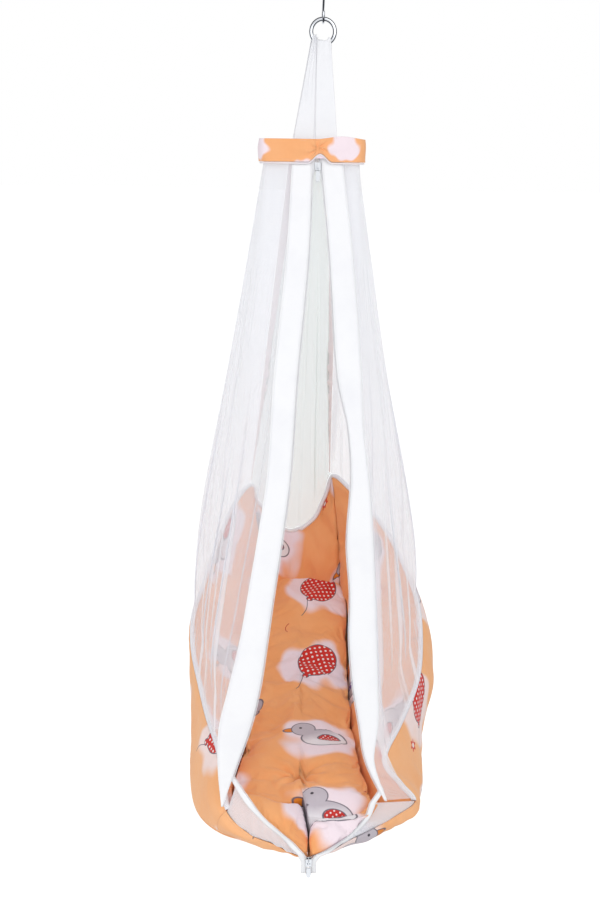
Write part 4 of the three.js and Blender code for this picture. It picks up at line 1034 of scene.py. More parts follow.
class Finish:
    """A finish makes one material the first time it is used."""

    def sketch(self) -> bpy.types.Material:
        """Builds the material."""
        raise NotImplementedError

    def material(self) -> bpy.types.Material:
        """The material, made once for each set of sizes."""
        return bpy.data.materials.get(self.name) or self.sketch()


def woven(x: Signal, y: Signal, pitch: float) -> Signal:
    """Height of a plain weave: the product of two rows of threads, each thread a half sine."""
    turn = math.pi / pitch
    return (x * turn).sin().abs() * (y * turn).sin().abs()


@dataclass(frozen=True)
class PlainCotton(Finish):
    """Close woven cotton or webbing without a print."""

    name: str = "plain_cotton"
    colour: str = "#fbfbfd"
    shade: str = "#eeeef4"
    pitch: float = 0.9
    depth: float = 0.00012

    def sketch(self) -> bpy.types.Material:
        """White cloth: faint cloudy shade, weave, soft sheen."""
        s = Sketch(self.name)
        x, y = s.cloth()
        cloud = s.noise(s.space(), 22.0, 3.0)
        colour = s.over(self.colour, self.shade, (cloud - 0.45) * 1.2)
        weave = woven(x, y, self.pitch)
        fold = s.relief(s.noise(s.vector(x, y), 0.045, 3.0), 0.55, 0.0016)
        normal = s.relief(weave, 0.5, self.depth, fold)
        return s.surface(s.principled(
            Base_Color=colour, Roughness=0.88, Specular_IOR_Level=0.25, Sheen_Weight=0.15, Sheen_Roughness=0.5,
            Normal=normal))


@dataclass(frozen=True)
class NetVeil(Finish):
    """Fine net: threads round six-sided holes, which let the light through between them."""

    name: str = "net_veil"
    colour: str = "#fafbff"
    pitch: float = 1.5
    cover: float = 0.4
    base: float = 0.2
    gather: float = 0.6

    def sketch(self) -> bpy.types.Material:
        """Threads from three sets of lines at 60 degrees; the rest is clear, and closer where the net is gathered."""
        s = Sketch(self.name)
        x, y = s.cloth()
        turn = math.pi / self.pitch
        lines = [((x * math.cos(a) + y * math.sin(a)) * turn).sin().abs() for a in (0, math.pi / 3, 2 * math.pi / 3)]
        near = lines[0].least(lines[1]).least(lines[2])
        threads = near.under(self.cover * 0.62, 0.22)
        drawn = s.noise(s.vector(x * 0.04, y), 0.032, 1.0)
        gathered = ((drawn - 0.52) * 7.0).held().eased() * (x / 600.0 - 0.25).held() * self.gather
        cover = (threads * (1.0 - self.base) + self.base + gathered).held()
        lit = s.shader("BsdfDiffuse", {"Color": paint(self.colour), "Roughness": 0.8})
        through = s.shader("BsdfTranslucent", {"Color": paint(self.colour)})
        return s.surface(s.blend(cover, s.shader("BsdfTransparent"), s.blend(0.25, lit, through)))


@dataclass
class Motif:
    """One kind of motif being drawn on a picture: at its own x and y, in millimetres, where its mark is 1."""

    s: Sketch
    picture: object
    x: Signal
    y: Signal
    ink: str
    mark: Signal | float = 1.0
    edge: float = 0.8

    def oval(self, cx: float, cy: float, rx: float, ry: float) -> Signal:
        """Rough distance to an ellipse: (|p / r| - 1) times its smaller radius."""
        u, v = (self.x - cx) / rx, (self.y - cy) / ry
        return ((u * u + v * v).root() - 1.0) * min(rx, ry)

    def dotted(self, ground: str, dot: str, pitch: float, radius: float) -> Socket:
        """A colour with dots on a square lattice turned by 45 degrees."""
        u = ((self.x + self.y) / pitch).fraction() - 0.5
        v = ((self.x - self.y) / pitch).fraction() - 0.5
        return self.s.over(ground, dot, ((u * u + v * v).root() * pitch).under(radius, self.edge))

    def add(self, colour: object, shape: Signal) -> None:
        """Lays a colour where a shape's mask is 1."""
        self.picture = self.s.over(self.picture, colour, shape * self.mark)

    def outlined(self, shape: Signal, colour: object) -> None:
        """Fills a shape, given as a distance, and draws its edge in ink."""
        self.add(colour, shape.under(0.0, self.edge))
        self.add(self.ink, shape.abs().under(0.55, 0.7))

    def line(self, off: Signal, half: float, below: float, above: float) -> None:
        """An inked line where off is under half its width, from below the motif's middle to above it."""
        self.add(self.ink, off.abs().under(half, 0.7) * (self.y + below).held() * ((self.y * -1.0) + above).held())

    def eye(self, cx: float, cy: float, radius: float) -> None:
        """A dark round eye."""
        self.add("#3c3640", self.oval(cx, cy, radius, radius).under(0.0, self.edge))

    def balloon(self) -> None:
        """A dotted balloon on a wavy string."""
        self.line(self.x - (self.y / 9.0).sin() * 4.0, 0.5, 52.0, -18.0)
        body = self.oval(0.0, 10.0, 24.0, 29.0).least(self.oval(0.0, -21.0, 4.0, 3.5))
        self.outlined(body, self.dotted("#d8342c", "#fbf3f2", 9.0, 2.0))

    def whale(self) -> None:
        """A grey whale with a pale belly and a dotted scarf."""
        body = self.oval(-6.0, 0.0, 36.0, 21.0)
        tail = self.oval(33.0, 13.0, 12.0, 6.0).least(self.oval(38.0, 22.0, 6.0, 12.0))
        self.outlined(body.least(tail), self.s.over("#b9adb6", "#ece4e8", (self.y + 16.0).under(6.0, 12.0)))
        scarf = (self.x - 8.0).abs().under(6.0, self.edge) * body.under(-0.6, 0.6)
        self.add(self.dotted("#7a55a8", "#f4eff8", 7.0, 1.5), scarf)
        self.eye(-26.0, 5.0, 2.2)

    def umbrella(self) -> None:
        """A half round dotted umbrella with a scalloped hem and a stick."""
        self.line(self.x, 0.9, 34.0, 4.0)
        hem = (self.x / 5.2).cos().abs() * 4.0 - 4.0
        shade = self.oval(0.0, 0.0, 34.0, 30.0).most(hem - self.y)
        self.outlined(shade, self.dotted("#e8b92f", "#fdf6e4", 8.0, 1.8))

    def duck(self) -> None:
        """A grey and white duck with a red dotted wing."""
        self.outlined(self.oval(-33.0, 16.0, 9.0, 4.0), "#ea8a2e")
        body = self.oval(3.0, -4.0, 27.0, 17.0).least(self.oval(-18.0, 16.0, 14.0, 13.0))
        self.outlined(body, self.s.over("#c9c0c8", "#f3eef2", (self.y - self.x * 0.3).under(2.0, 14.0)))
        self.outlined(self.oval(9.0, -3.0, 13.0, 8.0), self.dotted("#cf3a34", "#fbeeee", 6.0, 1.3))
        self.eye(-21.0, 19.0, 1.8)

    def flower(self) -> None:
        """A red flower of six petals, r = 9 + 2.6 cos(6 angle), with a pale middle."""
        angle = self.s.math("ARCTAN2", self.y, self.x)
        away = (self.x * self.x + self.y * self.y).root()
        self.add("#d8432f", (away - (angle * 6.0).cos() * 2.6 - 9.0).under(0.0, self.edge))
        self.add("#fbeee9", away.under(4.2, self.edge))

    def arc(self) -> None:
        """A thin red arc, the upper part of a circle of radius 15."""
        x, y = self.x, self.y + 8.0
        circle = ((x * x + y * y).root() - 15.0).abs().under(0.7, 0.7)
        self.add("#cf4534", circle * self.y.under(30.0, 1.0) * (self.y - 1.0).held())


@dataclass(frozen=True)
class NurseryPrint(Finish):
    """Orange cotton with a plain nursery print: clouds, balloons, whales, umbrellas, ducks and flowers."""

    name: str = "nursery_cotton"
    ground: str = "#fdb983"
    deep: str = "#f8a767"
    cloud: str = "#fbeaf1"
    ink: str = "#6b6470"
    pitch: float = 190.0
    size: float = 1.4
    cloud_size: float = 60.0
    motifs: bool = True
    seed: float = 3.0
    weave: float = 0.8

    def cells(
        self, s: Sketch, x: Signal, y: Signal, pitch: float, seed: float, jitter: float, swing: float,
    ) -> tuple[Signal, Signal, Signal, Signal]:
        """Places one motif in each cell of a staggered lattice.

        Args:
            s: the material's sketch.
            x, y: the cloth's coordinates.
            pitch: from cell to cell.
            seed: for the cells' dice.
            jitter: how far a motif may lie from its cell's middle, both ways together.
            swing: how far it may be turned, in radians, both ways together.

        Returns:
            The motif's own x and y, and two numbers from 0 to 1 that differ from cell to cell.
        """
        column = (x / pitch).floor()
        shifted = y / pitch + (column * 0.5).fraction()
        row = shifted.floor()
        dice = s.node("TexWhiteNoise", {"Vector": s.vector(column + seed, row + seed * 2.3)}, noise_dimensions="2D")
        a, b, c = s.parts(dice.outputs["Color"], "SeparateColor")
        across = (x / pitch - column - 0.5) * pitch + (a - 0.5) * jitter
        up = (shifted - row - 0.5) * pitch + (b - 0.5) * jitter
        turn = (c - 0.5) * swing
        cos, sin = turn.cos(), turn.sin()
        return across * cos + up * sin, up * cos - across * sin, a, b

    def picture(self, s: Sketch, x: Signal, y: Signal) -> object:
        """The whole print's colour: a cloudy ground, small marks, clouds, and a motif on each cloud."""
        place = s.vector(x, y)
        colour = s.over(self.ground, self.deep, (s.noise(place, 0.012, 3.0) - 0.4) * 1.6)
        if self.motifs:
            mx, my, a, _ = self.cells(s, x, y, self.pitch * 0.62, self.seed + 11, self.pitch * 0.3, 3.0)
            small = Motif(s, colour, mx, my, self.ink, s.math("GREATER_THAN", a, 0.62))
            small.arc()
            small.mark = s.math("LESS_THAN", a, 0.36)
            small.flower()
            colour = small.picture
        mx, my, _, b = self.cells(s, x, y, self.pitch, self.seed, self.pitch * 0.14, 1.2)
        puff = s.noise(place, 1.3 / self.cloud_size, 0.0)
        away = (mx * mx + my * my * 1.3).root() + (puff - 0.5) * self.cloud_size * 1.1
        colour = s.over(colour, self.cloud, away.under(self.cloud_size, self.cloud_size * 0.3).eased())
        if not self.motifs:
            return colour
        kind = (b * 4.0).floor()
        motif = Motif(s, colour, mx / self.size, my / self.size, self.ink)
        for k, draw in enumerate((motif.balloon, motif.whale, motif.umbrella, motif.duck)):
            motif.mark = s.math("COMPARE", kind, float(k), 0.4)
            draw()
        return motif.picture

    def sketch(self) -> bpy.types.Material:
        """The print on a weave, with soft creases."""
        s = Sketch(self.name)
        x, y = s.cloth()
        crease = s.relief(s.noise(s.vector(x, y), 0.05, 4.0, 0.55), 0.7, 0.0022)
        normal = s.relief(woven(x, y, self.weave), 0.45, 0.0001, crease)
        return s.surface(s.principled(
            Base_Color=self.picture(s, x, y), Roughness=0.86, Specular_IOR_Level=0.25, Sheen_Weight=0.2,
            Sheen_Roughness=0.45, Normal=normal))


@dataclass(frozen=True)
class Steel(Finish):
    """Bright plated steel with fine brushing, and reflections painted into its colour."""

    name: str = "plated_steel"
    colour: str = "#dadde2"
    # colour of the painted reflection's dark bands
    dark: str = "#2f3035"
    roughness: float = 0.16
    painted_reflection_strength: float = 1.0

    def sketch(self) -> bpy.types.Material:
        """Polished metal with a painted reflection: a bright middle and dark sides, cos(5 sqrt(1 - ny^2)), that follow
        the wire's round.
        """
        s = Sketch(self.name)
        ny = s.parts(s.node("TexCoord").outputs["Normal"])[1]
        grain = s.noise(s.space(), 900.0, 3.0)
        # painted reflection: darker where the wire's normal turns away from the front, as mirrored dark surroundings
        # would show; the noise only wobbles the bands
        reflection_wobble = s.noise(s.space(), 45.0, 1.0)
        off_front = (ny * ny * -1.0 + 1.0).held().root()
        painted_reflection = ((off_front * 5.0 + reflection_wobble * 0.6 - 0.3).cos() * -1.3 * self.painted_reflection_strength).held()
        colour = s.over(self.colour, self.dark, painted_reflection)
        rough = grain * 0.06 + (self.roughness - 0.03)
        return s.surface(s.principled(Base_Color=colour, Metallic=1.0, Roughness=rough))


@dataclass(frozen=True)
class Board(Finish):
    """Stiff strip of pale plastic inside the collar."""

    name: str = "board_plastic"
    colour: str = "#dcd9d1"

    def sketch(self) -> bpy.types.Material:
        """Matt plastic with a fine grain."""
        s = Sketch(self.name)
        grain = s.noise(s.space(), 700.0, 2.0)
        tone = s.over(self.colour, "#c9c5bc", (s.noise(s.space(), 30.0) - 0.4) * 1.2)
        return s.surface(s.principled(Base_Color=tone, Roughness=0.55, Normal=s.relief(grain, 0.3, 0.0001)))


@dataclass(frozen=True)
class Thread(Finish):
    """Sewing thread or zip coil: smooth, slightly glossy plastic fibre."""

    name: str = "white_thread"
    colour: str = "#f1f0f4"
    roughness: float = 0.5

    def sketch(self) -> bpy.types.Material:
        """Fibre with a fine twist."""
        s = Sketch(self.name)
        twist = s.noise(s.space(), 1500.0, 1.0)
        tone = s.over(self.colour, "#dcdae3", (s.noise(s.space(), 60.0) - 0.45) * 1.2)
        return s.surface(s.principled(
            Base_Color=tone, Roughness=self.roughness, Specular_IOR_Level=0.35, Normal=s.relief(twist, 0.3, 0.00006)))


COTTON = PlainCotton()
TAPE = PlainCotton(name="hanging_tape_cotton", colour="#fafafd", shade="#eeeff4", pitch=1.3, depth=0.0002)
ZIP_TAPE = PlainCotton(name="zip_tape_cotton", colour="#fafafc", shade="#efeff4", pitch=0.8)
BACK_TAPE = PlainCotton(name="back_tape_cotton", colour="#fbf4f5", shade="#f4e2e3")
BINDING = PlainCotton(name="rim_binding_cotton", colour="#f6f4f8", shade="#e6e1ea")
# the covers' and floor's clouds are warmer than the collar's: painted warm shade, as of light bounced off the orange
# walls
PRINT = NurseryPrint(ground="#ffc08c", deep="#fbae70", cloud="#ffe8e3")
COLLAR_PRINT = NurseryPrint(name="collar_nursery_cotton", pitch=64.0, cloud_size=21.0, motifs=False, seed=14.0)
LINING_PRINT = NurseryPrint(name="lining_nursery_cotton", ground="#fcb077", deep="#f39b5b", seed=8.0)
BED_PRINT = NurseryPrint(name="mattress_nursery_cotton", ground="#feb67b", deep="#f7a25f", seed=21.0)
# lilac cloth whose tone is painted shade: the collar's back seen from inside, in shadow
ARCH_SHADE_CLOTH = PlainCotton(name="collar_arch_shade_cotton", colour="#f6e3ee", shade="#ead3e2")
SIDE_NET = NetVeil()
BACK_NET = NetVeil(name="net_veil_back", colour="#eef4f2", cover=0.46, base=0.32, gather=0.0)
FOOT_NET = NetVeil(name="foot_net_veil", cover=0.66, base=0.62, gather=0.2)
TOP_NET = NetVeil(name="top_net", cover=0.5, base=0.3)
STEEL = Steel()
# zip metal: the same painted reflection as the ring, with fainter dark bands
ZIP_STEEL = Steel(name="bright_zip_steel", colour="#d3d6db", dark="#54575e", roughness=0.2, painted_reflection_strength=0.9)
THREAD = Thread()
COIL = Thread(name="zip_coil", colour="#fbfbfd", roughness=0.38)
BINDING_CORD = Thread(name="collar_bead_cotton", colour="#f4eef2", roughness=0.8)
COLLAR_THREAD = Thread(name="collar_thread", colour="#f2d9c6")


def dressed(piece: Piece, finish: Finish) -> None:
    """Puts a finish on a piece."""
    piece.data.materials.clear()
    piece.data.materials.append(finish.material())


def cut(face: Array) -> None:
    """Works out the area of a cloth piece's face from its grid; the area is not used.

    Args:
        face: the grid of points of its outer face, in millimetres.
    """
    area = float(np.linalg.norm(np.cross(np.gradient(face, axis=0), np.gradient(face, axis=1)), axis=-1).sum()) * MM**2


def finished(piece: Piece, finish: Finish, slot: Slot, *nodes: str, body: Body = Body.CRADLE) -> None:
    """Dresses a piece, lets it stand for CAD nodes and ride on a body, and reports it."""
    dressed(piece, finish)
    if nodes:
        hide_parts(*nodes)
    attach(piece, body.value)
    log.info("%s: %d faces, stands for %s", piece.name, len(piece.data.polygons), ", ".join(nodes) or "no node")


def carried(node: str, finish: Finish, bevel: float = 0.0) -> None:
    """Gives a CAD node that stays its finish, and a small bevel where it has sharp edges."""
    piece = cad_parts[node]
    dressed(piece, finish)
    if bevel:
        round_off = piece.modifiers.new("worn_edges", "BEVEL")
        round_off.width, round_off.segments, round_off.limit_method = bevel * MM, 2, "ANGLE"
    log.info("%s: CAD node kept", node)


# ---------------------------------------------------------------------------------------------------------------
# Padding by cloth simulation


@dataclass(frozen=True)
class Stuffing:
    """How a padded piece is blown up: a cloth with pressure inside, whose seams are pinned."""

    pressure: float = 4.0
    frames: int = 18
    cap: float = 12.0
    slack: float = 0.03
    stiffness: float = 12.0
    bending: float = 0.6

    def fill(self, piece: Piece, pinned: Array) -> None:
        """Runs the simulation and keeps its result in the mesh.

        Args:
            piece: the closed mesh, a little smaller than it ends.
            pinned: numbers of the points that stay.
        """
        group = piece.vertex_groups.new(name="seam")
        group.add([int(k) for k in pinned], 1.0, "REPLACE")
        cloth = piece.modifiers.new("stuffing", "CLOTH")
        settings = cloth.settings
        settings.quality, settings.mass = 5, 0.2
        settings.tension_stiffness = settings.compression_stiffness = self.stiffness
        settings.shear_stiffness, settings.bending_stiffness = 4.0, self.bending
        settings.use_pressure, settings.uniform_pressure_force = True, self.pressure
        settings.vertex_group_mass, settings.shrink_min = "seam", -self.slack
        settings.effector_weights.gravity = 0.0
        cloth.collision_settings.use_collision = False
        cloth.point_cache.frame_start, cloth.point_cache.frame_end = 1, self.frames
        scene = bpy.context.scene
        for number in range(1, self.frames + 1):
            scene.frame_set(number)
        graph = bpy.context.evaluated_depsgraph_get()
        count = len(piece.data.vertices)
        before, after = np.empty(count * 3, np.float32), np.empty(count * 3, np.float32)
        piece.data.vertices.foreach_get("co", before)
        piece.evaluated_get(graph).data.vertices.foreach_get("co", after)
        move = (after - before).reshape(-1, 3)
        size = np.linalg.norm(move, axis=1, keepdims=True)
        move = move * np.minimum(1.0, self.cap * MM / np.maximum(size, 1e-9))
        piece.modifiers.remove(cloth)
        piece.vertex_groups.remove(group)
        piece.data.vertices.foreach_set("co", (before.reshape(-1, 3) + move).astype(np.float32).ravel())
        piece.data.update()
        scene.frame_set(1)
        log.info("%s: stuffed, largest move %.1f mm", piece.name, size.max() / MM)


# ---------------------------------------------------------------------------------------------------------------
# Sub-assemblies


@dataclass(frozen=True)
class Steelwork:
    """The S-hook and the ring."""

    layout: Layout = LAYOUT
    wire_sides: int = 20
    tip_angle: float = 25.0

    def hook_path(self) -> Array:
        """Two bends of one radius with a straight shank between them, in the YZ plane of the part's frame."""
        bend = (self.layout.hook_bend + self.layout.hook_wire) / 2
        upper, lower = -self.layout.hook_bend / 2, -self.layout.hook_length + self.layout.hook_bend / 2
        lean, tip = math.asin(2 * bend / (upper - lower)), math.radians(self.tip_angle)
        runs = []
        for centre, start, end in ((upper, -tip, math.pi + lean), (lower, lean, -math.pi - tip)):
            turn = np.linspace(start, end, 60)
            runs.append(xyz(0.0, bend * np.cos(turn), centre + bend * np.sin(turn)))
        return resampled(np.vstack(runs), 170)

    def make(self) -> None:
        """Builds both, dresses them and puts them on their bodies."""
        path = self.hook_path() - self.layout.tent_place
        hook = tube_piece("hook_wire", path, self.layout.hook_wire / 2, self.wire_sides, np.array([1.0, 0, 0]))
        finished(hook, STEEL, Slot.STEEL, "hanging_hook", body=Body.HOOK)
        turn = np.linspace(0, 2 * math.pi, 121)[:-1]
        circle = xyz(np.cos(turn), 0.0, np.sin(turn))
        path = self.layout.ring_centre + circle * self.layout.ring_radius
        ring = tube_piece("ring_wire", path, self.layout.ring_wire / 2, 24, circle, closed=True)
        finished(ring, STEEL, Slot.STEEL, "hanging_ring", body=Body.RING)


@dataclass(frozen=True)
class HangingTapes:
    """Two tape loops over the ring's lowest wire; the left one is bunched by the ring."""

    thickness: float = 1.3
    width: float = 38.0
    half_length: float = 190.0
    left: tuple[float, float, float, float] = (-72, -42, -0.425, -0.02)
    right: tuple[float, float, float, float] = (-37, 50, 0.015, 0.445)
    saddle: float = 0.5

    def face(
        self, shares: tuple[float, float, float, float], place: Array, across: Array, depth: Array | float,
    ) -> Array:
        """A tape's face: round the ring's wire in the middle of its way, then straight down to the collar.

        Args:
            shares: the two angles on the ring, in degrees, and the two edges at the collar over its half width.
            place: from -1, the front end, over the ring to 1, the back end.
            across: 0 to 1 from one edge to the other.
            depth: distance out from the wire.

        Returns:
            Points in place's shape.
        """
        turn = np.radians(shares[0] + (shares[1] - shares[0]) * across)
        inward = xyz(-np.sin(turn), 0.0, np.cos(turn))
        wire = LAYOUT.ring_centre - inward * LAYOUT.ring_radius
        top = TENT.sewn_top + TENT.seat
        rise = wire[..., 2] - top
        end_y = -TENT.strip_y - TENT.strip_lean * (top - TENT.seat) - TENT.strip_cloth
        sign = np.where(place < 0, -1.0, 1.0)
        leave = np.arctan2(end_y - sign * LAYOUT.ring_centre[1], rise)
        away = np.abs(place)
        wrap = leave + (math.pi / 2 - leave) * (1 - np.minimum(away / self.saddle, 1))
        lean = xyz(0.0, sign * np.cos(wrap)) + inward * np.sin(wrap)[..., None]
        depth = np.broadcast_to(np.asarray(depth, float), place.shape)
        on_ring = wire + lean * (LAYOUT.ring_wire / 2 + TENT.seat + depth)[..., None]
        end_x = (shares[2] + (shares[3] - shares[2]) * across) * TENT.collar_width / 2
        return mix(on_ring, xyz(end_x, sign * (end_y + depth), top), over_end(away, self.saddle))

    def loop(self, side: Side) -> None:
        """One tape: its face waves across where the ring squeezes it, so that its cloth keeps its width."""
        shares = self.left if side is Side.LEFT else self.right
        place, across = spread(181, 33)
        place = place * 2 - 1
        away = np.abs(place)
        squeeze = (1 - smooth((away - 0.35) / 0.6)) * smooth(away / 0.3 + 0.35)
        if side is Side.LEFT:
            fold = 3.4 * squeeze * (0.5 - 0.5 * np.cos(2 * math.pi * 2.5 * across + 1.5 * place))
            fold = fold + 1.2 * smooth((away - 0.6) / 0.4) * np.sin(math.pi * across)
        else:
            fold = 1.6 * squeeze * (0.5 - 0.5 * np.cos(2 * math.pi * 1.5 * across))
            fold = fold + 0.8 * (0.5 + 0.5 * waves(place * self.half_length, across * self.width, 60, 5))
        fold = fold * (1 - smooth((away - 0.93) / 0.07))
        outer = self.face(shares, place, across, fold + self.thickness)
        uv = np.stack([place * self.half_length, across * self.width], -1) * MM
        piece = shell(f"tape_loop_{side.word}", outer, self.face(shares, place, across, fold), uv)
        cut(outer)
        finished(piece, TAPE, Slot.COTTON, f"hanging_tape_{side.word}")

    def make(self) -> None:
        """Builds both loops."""
        for side in Side:
            self.loop(side)


@dataclass(frozen=True)
class Collar:
    """The printed band round the tent's top, its stiff strip, its bead and the panel that closes it."""

    cloth: float = 1.3
    length: float = 540.0
    pinch: float = 4.0
    sag: float = 1.2
    count: int = 480
    rows: int = 21

    def band(self, inset: float, place: Array, rise: Array, proud: Array | float = 0.0) -> Array:
        """The band's face: the collar's outline swept up from its lower to its upper edge, pushed out by proud."""
        points = TENT.outline(inset, place)
        step = TENT.outline(inset, place + 0.005) - TENT.outline(inset, place - 0.005)
        outward = unit(xyz(-step[..., 1], step[..., 0]))
        points = points + outward * np.broadcast_to(np.asarray(proud, float), place.shape)[..., None]
        points[..., 0] += TENT.collar_shift
        low, high = TENT.lower_edge(points), TENT.upper_edge(points)
        points[..., 2] = low + (high - low) * rise
        return points

    def wrinkles(self, points: Array, around: Array, rise: Array) -> Array:
        """How far the cloth stands off: waves, rays from the pinch over the zip and puckers at the lower seam."""
        front = smooth((-points[..., 1] - 40) / 20)
        from_pinch = points[..., 0] - self.pinch
        pinch = np.exp(-((from_pinch / 2.4) ** 2)) * front
        rays = np.exp(-np.abs(from_pinch) / 26) * np.sin(np.arctan2(rise * 32 - 12, from_pinch) * 7) * front
        belly = np.sin(math.pi * np.clip(rise, 0.02, 0.98)) ** 0.7
        relief = 0.5 + 0.5 * waves(around, rise * 32, 34, 3, stretch=1.4)
        proud = 2.8 * relief * belly + 2.6 * np.maximum(rays, -0.5) * belly
        proud = proud + 0.9 * (0.5 + 0.5 * np.sin(around / 5.5 + 2 * np.sin(around / 31))) * np.exp(-rise * 5)
        return (proud + 0.3) * (1 - pinch) - 0.5 * pinch

    def make(self) -> None:
        """Builds the band, the bead, the panel and the stitches."""
        place, rise = spread(self.count + 1, self.rows)
        place, rise = place[:-1] * 4, rise[:-1]
        around = place / 4 * self.length
        proud = self.wrinkles(self.band(0, place, rise), around, rise)
        outer = self.band(0, place, rise, proud)
        inner = self.band(self.cloth, place, rise, np.minimum(proud, 0))
        uv = np.stack([around * MM + 0.001, 0.02 - rise * 0.032], -1)
        cover = shell("collar_band", outer, inner, uv, ring=True)
        cut(outer)
        finished(cover, COLLAR_PRINT, Slot.PRINT, "collar_cover")
        self.arch_shade()

        places = np.linspace(0, 4, 301)[:-1]
        edge = self.band(TENT.piping / 2, places, 0.0)
        edge[:, 2] -= 2 * TENT.seat + TENT.piping / 2
        bead = tube_piece("collar_bead", edge, TENT.piping / 2, 12, np.array([0, 0, 1.0]), closed=True)
        finished(bead, BINDING_CORD, Slot.COTTON, "collar_piping")
        carried("collar_frame", Board())
        self.panel()
        out = unit(self.band(0, places, 0.0, 1.0) - self.band(0, places, 0.0, 0.0))
        rows = [(self.band(0, places, rise, proud), out) for rise, proud in ((0.11, 0.45), (0.93, 0.5))]
        stitching("collar_stitches", rows, COLLAR_THREAD, Slot.PRINT, pitch=2.8, length=1.9, radius=0.22)

    def arch_shade(self) -> None:
        """A lilac sheet seen in the arch over the slider, painted shade that stands for the shaded inside of the
        collar's back: a lens behind the band, from under the arch to its top.
        """
        across, rise = spread(41, 9)
        off = across * 2 - 1
        x = off * 0.145 * TENT.collar_width + TENT.arch_middle * TENT.collar_width
        low = 4.9 + 3.6 * off**2
        y = -TENT.collar_depth / 2 + self.cloth + 0.15 + 0.5 * np.sin(math.pi * rise)
        piece = sheet("collar_arch_shade_sheet", xyz(x, y, low + (13.6 - low) * rise), 0.5, (0, 0, 0))
        finished(piece, ARCH_SHADE_CLOTH, Slot.PRINT)

    def panel(self) -> None:
        """The net that closes the collar's top, notched for the tapes: a level grid with a little sag."""
        inset = TENT.lining_inset + TENT.seat
        half_x, half_y = TENT.collar_width / 2 - inset, TENT.collar_depth / 2 - inset
        notch = TENT.collar_depth / 2 - TENT.lining_inset - 4 * TENT.strip_cloth - 0.35 * TENT.collar_height
        tapes = [
            [share * TENT.collar_width / 2 - TENT.collar_shift + grow for share, grow in zip(shares[2:], (-0.9, 0.9))]
            for shares in (HangingTapes.left, HangingTapes.right)
        ]
        x = np.unique(np.concatenate([np.linspace(-half_x, half_x, 41), *tapes]).round(4))
        y = np.unique(np.concatenate([np.linspace(-half_y, half_y, 33), [-notch, notch]]).round(4))
        gx, gy = np.meshgrid(x, y, indexing="ij")
        corner = TENT.collar_corner - inset
        over = np.maximum(np.abs(gy) - (half_y - corner), 0)
        limit = half_x - corner + np.sqrt(np.maximum(corner**2 - over**2, 0))
        sag = self.sag * (1 - (gx / half_x) ** 2) * (1 - (gy / half_y) ** 2)
        height = TENT.sewn_top + 0.9 + self.sag - sag
        points = xyz(np.clip(gx, -limit, limit) + TENT.collar_shift, gy, height)
        faces = grid_faces(*gx.shape)
        middle = np.stack([gx, gy], -1).reshape(-1, 2)[faces].mean(axis=1)
        in_tape = np.any([(middle[:, 0] > low) & (middle[:, 0] < high) for low, high in tapes], axis=0)
        faces = faces[~(in_tape & (np.abs(middle[:, 1]) > notch))]
        piece = new_piece("collar_top_net", points, faces, np.stack([gx, gy], -1) * MM, np.array([0, 0, -500.0]))
        cut(points)
        finished(piece, TOP_NET, Slot.NET, "collar_top_panel")


